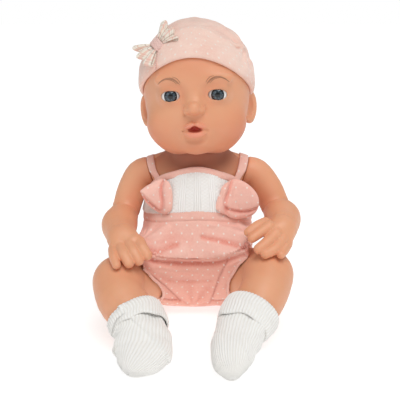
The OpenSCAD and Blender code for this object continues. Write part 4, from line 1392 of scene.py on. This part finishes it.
def flap_rest(clays, flat):
    """How far forward (y) the doll is behind each point of a flap, with a flat limit, evened out."""
    start = np.stack([flat[..., 0], np.full(flat.shape[:2], -66.0), flat[..., 1]], -1)
    hits = [pressed(clay, start, np.array([[[0.0, 1.0, 0.0]]]), 1.7)[..., 1] for clay in clays]
    y = np.minimum(np.minimum.reduce(hits), -20 - 0.2 * np.abs(flat[..., 0]))
    for _ in range(6):
        y = np.minimum(y, 0.5 * y + 0.25 * (np.roll(y, 1, 1) + np.roll(y, -1, 1)))
    return y


def make_flap(side, name, clays):
    """A stuffed pad: a puffed front with a rim and creases, and an almost flat back."""
    outline = np.array(FLAPS[side]["edge"], float)
    ring = curve(np.vstack([outline, outline[:1]]), 6)[:-1]
    middle = outline.mean(0)
    s = np.concatenate([np.linspace(0.002, 1, FLAP_FRONT) ** 0.8,
                        (np.linspace(1, 0.002, FLAP_BACK) ** 0.8)[1:]])[:, None]
    front = np.arange(len(s))[:, None] < FLAP_FRONT
    flat = middle + s[..., None] * (ring - middle)
    y = flap_rest(clays, flat)
    puff = 4.6 * np.sqrt(np.maximum(0, 1 - s ** 2.6)) * np.where(front, 1, 0.05)
    tip = np.clip((np.abs(flat[..., 0]) - 30) / 14, 0, 1)
    rim = 0.5 * np.exp(-((s - 0.93) / 0.035) ** 2) * front
    far = [path_distance(flat, curve(fold, 5)) for fold in FLAPS[side]["folds"]]
    crease = sum(2.8 * np.exp(-(d / 1.3) ** 2) for d in far)
    upright = np.stack([flat[..., 0], 0 * y, flat[..., 1]], -1).reshape(-1, 3)
    soft = 0.35 * wave(upright, 8, 21, 2).reshape(y.shape)
    inner = np.clip((1 - s) * 6, 0.25, 1)
    y = y - puff - 2.2 * tip ** 2 + (rim + (crease + soft) * inner) * front
    p = np.stack([flat[..., 0], y - 0.4, flat[..., 1]], -1)
    faces, _ = net(p, loop=True)
    numbers = np.arange(flat[..., 0].size).reshape(y.shape)
    faces = faces[:, ::-1].tolist() + [numbers[0].tolist(), numbers[-1, ::-1].tolist()]
    xz = p.reshape(-1, 3)[:, [0, 2]]
    # The flap's fold value is painted shade along its creases.
    flap = piece(name + "_pillow", p, faces, "torso", JERSEY, [name],
                 corner_uv=np.vstack([xz[f] for f in faces]),
                 values={"fold": np.clip(crease.ravel() / 4.5, 0, 0.6)}, subdivide=1)


def make_flaps(clays):
    for side, name in ((1, "ear_flap_left"), (-1, "ear_flap_right")):
        make_flap(side, name, clays)


# ---------------------------------------------------------------- socks

SOCKS = {
    -1: [[-47, -91, 27.5, 19.5, 19], [-42, -99, 22.5, 18, 17.5], [-38.5, -107, 18.5, 18.5, 16],
         [-38, -115, 15, 20, 14], [-38.5, -122, 12.5, 20.5, 11.8], [-41, -128, 9.9, 18, 9.2],
         [-44, -132.5, 7, 13, 6.3], [-46, -135.2, 5, 6.5, 4], [-46.6, -136, 4.6, 0.6, 0.4]],
    1: [[38, -94, 28.5, 18.5, 18], [33.5, -100, 24.5, 17.8, 17.2], [28.5, -110, 19, 16.8, 15.8],
        [25, -120, 15.5, 15.6, 13.8], [23.5, -128, 12.6, 14, 11.8], [23, -134.5, 9.3, 11.2, 8.6],
        [23.2, -139.5, 6.8, 7.4, 5.6], [23.4, -142.4, 5, 3.9, 3], [23.5, -143.2, 4.6, 0.5, 0.4]]}


def rings_along(keys, steps, count):
    """Elliptic rings across a path of keys [x, y, z, half width, half height], and their ways out."""
    k = curve(keys, steps)
    t = unit(np.gradient(k[:, :3], axis=0))
    w = unit(np.cross(t, (0, 0, 1.0)))
    h = np.cross(w, t)
    a = full_turn(count)
    ring = k[:, None, :3] + circle(a, k[:, 3:4] * w, k[:, 4:5] * h)
    return ring, unit(circle(a, w / k[:, 3:4], h / k[:, 4:5])), np.broadcast_to(a, ring.shape[:2])


def on_floor(p, lowest):
    """Cloth that would pass the floor spreads a little and lies on it."""
    z = p[..., 2]
    p[..., 2] = np.where(z < lowest + 2, lowest + 2 * np.exp(np.clip((z - lowest - 2) / 2, -8, 0)), z)
    return p


SOCK_RIBS, CUFF_RIBS = 44, 52
RIB_POINTS = 8                              # points round a sock to each rib


def sock_relief(ring, a, side):
    """The sock's slack: soft lumps, rings of creases near the cuff and one long fold."""
    u = np.linspace(0, 1, len(ring))[:, None]
    across = ring[..., 0] * 0.55 + ring[..., 1] * 0.5 + ring[..., 2] * 0.25
    fold_at = np.median(across) + (4 if side > 0 else 9)
    fold = np.clip(1 - np.abs(across - fold_at) / 7, 0, 1) * (across > fold_at)
    slack = 0.8 * wave(ring.reshape(-1, 3), 14, 31 + side, 2).reshape(a.shape) \
        + 0.75 * np.sin(u * 34 + 2.2 * np.cos(a + 0.6)) * np.clip(1 - u * 1.7, 0, 1)
    return slack + fold * (1.5 if side < 0 else 0.5), np.clip((1 - u) * 9, 0, 1)


def make_socks():
    n = SOCK_RIBS * RIB_POINTS
    for side, name in ((1, "sock_left"), (-1, "sock_right")):
        leg = name.replace("sock", "leg")
        ring, out, a = rings_along(SOCKS[side], 12, n)
        rib = 0.5 + 0.5 * np.cos(a * SOCK_RIBS)
        relief, ease = sock_relief(ring, a, side)
        p = on_floor(ring + out * ((0.42 * rib ** 0.8 + relief) * ease)[..., None], 0.9)
        faces, uv = net(p, loop=True)
        faces = faces.tolist() + [list(range((len(p) - 1) * n, len(p) * n))]
        toe = np.zeros((n, 2))
        # Painted shade between the sock's ribs goes in as a value.
        sock = piece(name + "_knit", p, faces, leg, SOCK, [name],
                     corner_uv=np.vstack([(uv * (110 / n, 60 / len(p))).reshape(-1, 2), toe]),
                     values={"hollow": ((1 - rib) * 0.8).ravel()}, solidify=0.7)
        make_cuff(side, name)


CUFFS = {1: dict(low=6.15, high=7.35, tilt=0.30, lobes=5), -1: dict(low=6.2, high=7.3, tilt=-0.22, lobes=6)}
CUFF_PROFILE = [(0.85, 0.5), (0.4, 0.5), (0.02, 0.7), (-0.06, 1.5), (-0.04, 2.6), (0.05, 3.3),
                *[(f, 3.4 + 0.7 * math.sin(f * 3.0)) for f in np.linspace(0.12, 0.92, 16)],
                (0.98, 3.1), (1.0, 2.4), (0.97, 1.7)]           # place down the cuff, distance from the leg


def make_cuff(side, name):
    """The sock's top, turned down over itself: a soft rolled top and a lumpy lower hem."""
    c = CUFFS[side]
    fine = curve(mirrored(LEGS[side], side), 10)
    a = full_turn(CUFF_RIBS * RIB_POINTS)
    lump = 0.11 * np.cos(c["lobes"] * a + 0.7) + 0.05 * np.cos(3 * a + 2)
    rib = 0.5 + 0.5 * np.cos(a * CUFF_RIBS)

    def leg_at(t):
        return np.array([np.interp(t * 10, np.arange(len(fine)), fine[:, i]) for i in range(4)])

    rings = []
    for f, out in CUFF_PROFILE:
        t = c["low"] + (c["high"] - c["low"]) * f
        here, ahead = leg_at(t), leg_at(t + 0.05)
        axis = unit(ahead[:3] - here[:3])
        w = unit(np.cross(axis, (0, 0, 1.0)))
        rise = f * lump * 9 + c["tilt"] * 6 * np.cos(a)
        r = here[3] + out + 0.5 * rib * (out > 1.2) + 0.5 * np.cos(c["lobes"] * a + 1.9) * f
        rings.append(here[:3] + circle(a, w, np.cross(w, axis)) * r[:, None] + axis * rise[:, None])
    p = on_floor(np.array(rings), 0.9)
    faces, uv = net(p, loop=True)
    part = name.replace("sock", "sock_cuff")
    # Painted shade between the cuff's ribs goes in as a value.
    cuff = piece(part + "_knit", p, faces, name.replace("sock", "leg"), SOCK, [part],
                 corner_uv=uv * (125 / len(a), 0.8), values={"hollow": np.tile((1 - rib) * 0.8, len(p))},
                 solidify=0.6)


# ---------------------------------------------------------------- finishes of the CAD model's own parts

def dress_cad():
    """Every part that no sculpted piece replaces keeps its CAD shape and gets a finish for its slot."""
    finishes = {
        "torso_plastic": SKIN, "vinyl_skin": SKIN,
        "inner_plastic": moulded("white_moulding", (0.80, 0.79, 0.76)),
        "steel": moulded("nickel_steel", (0.60, 0.60, 0.60), 0.3, 1.0),
        "snap_metal": moulded("snap_enamel", (0.80, 0.42, 0.38), 0.3),
        "board_green": moulded("board_mask", (0.03, 0.16, 0.06), 0.35),
        "wire_jacket": moulded("wire_red", (0.45, 0.02, 0.02), 0.5),
        "black_plastic": moulded("black_moulding", (0.02, 0.02, 0.022), 0.45),
        "pink_jersey": JERSEY, "white_rib": RIB, "sock_knit": SOCK}
    for part in frame["record"]["subparts"]:
        obj, finish = bpy.data.objects.get(part["node"]), finishes.get(part["material_slot"])
        if obj is not None and obj.type == "MESH" and finish is not None:
            obj.data.materials.clear()
            obj.data.materials.append(finish)


# ---------------------------------------------------------------- stage

SHINE = 0.66                        # what the floor gives off, and the world adds where the camera sees it
FILL = 0.34                         # what the world gives to everything
LAMPS = [("sun", "SUN", (0.2, -0.7, 1.35), 0.6, 1.65), ("fill", "AREA", (-0.9, -0.9, 0.6), 0.9, 1.0),
         ("back", "AREA", (0.5, 0.6, 1.3), 0.9, 2.0)]           # place, size or angle, energy


def make_floor():
    """A wide floor a little below the doll, pale grey and shining."""
    mesh = bpy.data.meshes.new("floor")
    mesh.from_pydata([(-15, -15, 0), (15, -15, 0), (15, 15, 0), (-15, 15, 0)], [], [(0, 1, 2, 3)])
    floor = bpy.data.objects.new("floor", mesh)
    bpy.context.scene.collection.objects.link(floor)
    floor.location.z = CAD_BOX[0][2] - 0.0006
    p = Paint("floor_white", (0.5, 0.5, 0.5), 0.9, Emission_Color=(1, 1, 1, 1), Emission_Strength=SHINE)
    p.colour(p.mix(p.noise(3.0), (0.50, 0.50, 0.50), (0.49, 0.49, 0.49)))
    mesh.materials.append(p.material)


def make_world():
    """White all round, brighter to the camera than to the doll."""
    world = bpy.data.worlds.new("studio")
    bpy.context.scene.world = world
    world.use_nodes = True
    tree = world.node_tree
    background = tree.nodes["Background"]
    background.inputs["Color"].default_value = (1, 1, 1, 1)
    seen, strength = tree.nodes.new("ShaderNodeLightPath"), tree.nodes.new("ShaderNodeMath")
    strength.operation = "MULTIPLY_ADD"
    tree.links.new(seen.outputs["Is Camera Ray"], strength.inputs[0])
    strength.inputs[1].default_value = SHINE
    strength.inputs[2].default_value = FILL
    tree.links.new(strength.outputs[0], background.inputs["Strength"])


def make_stage():
    """The floor, the world, a broad sun above and in front, a fill from the left and a weak back light."""
    make_floor()
    make_world()
    for name, kind, at, size, power in LAMPS:
        lamp = bpy.data.lights.new(name, kind)
        lamp.energy = power
        setattr(lamp, "angle" if kind == "SUN" else "size", size)
        o = bpy.data.objects.new(name, lamp)
        bpy.context.scene.collection.objects.link(o)
        o.location = at
        o.rotation_euler = (Vector((0, 0, 0.13)) - Vector(at)).to_track_quat("-Z", "Y").to_euler()


def make_camera():
    """At the photograph's angle: in front, 15 degrees down, with a slightly long lens."""
    data = bpy.data.cameras.new("camera")
    data.lens, data.sensor_width = 62.7, 36.0
    camera = bpy.data.objects.new("camera", data)
    bpy.context.scene.collection.objects.link(camera)
    camera.location = row((2, -560, 240))
    camera.rotation_euler = (math.radians(75), 0, 0)
    bpy.context.scene.camera = camera
    bpy.context.scene.view_settings.view_transform = "Standard"


make_camera()
make_stage()
make_head()
make_eyes()
make_brows(head_clay())
make_chest()
make_cap()
make_bow()
CHEST = chest_clay(56, 1.0)
make_bodice(CHEST)
make_neckline(CHEST)
make_straps(CHEST)
make_romper()
make_flaps((CHEST, romper_clay()))
make_arms()
make_legs()
make_socks()
dress_cad()
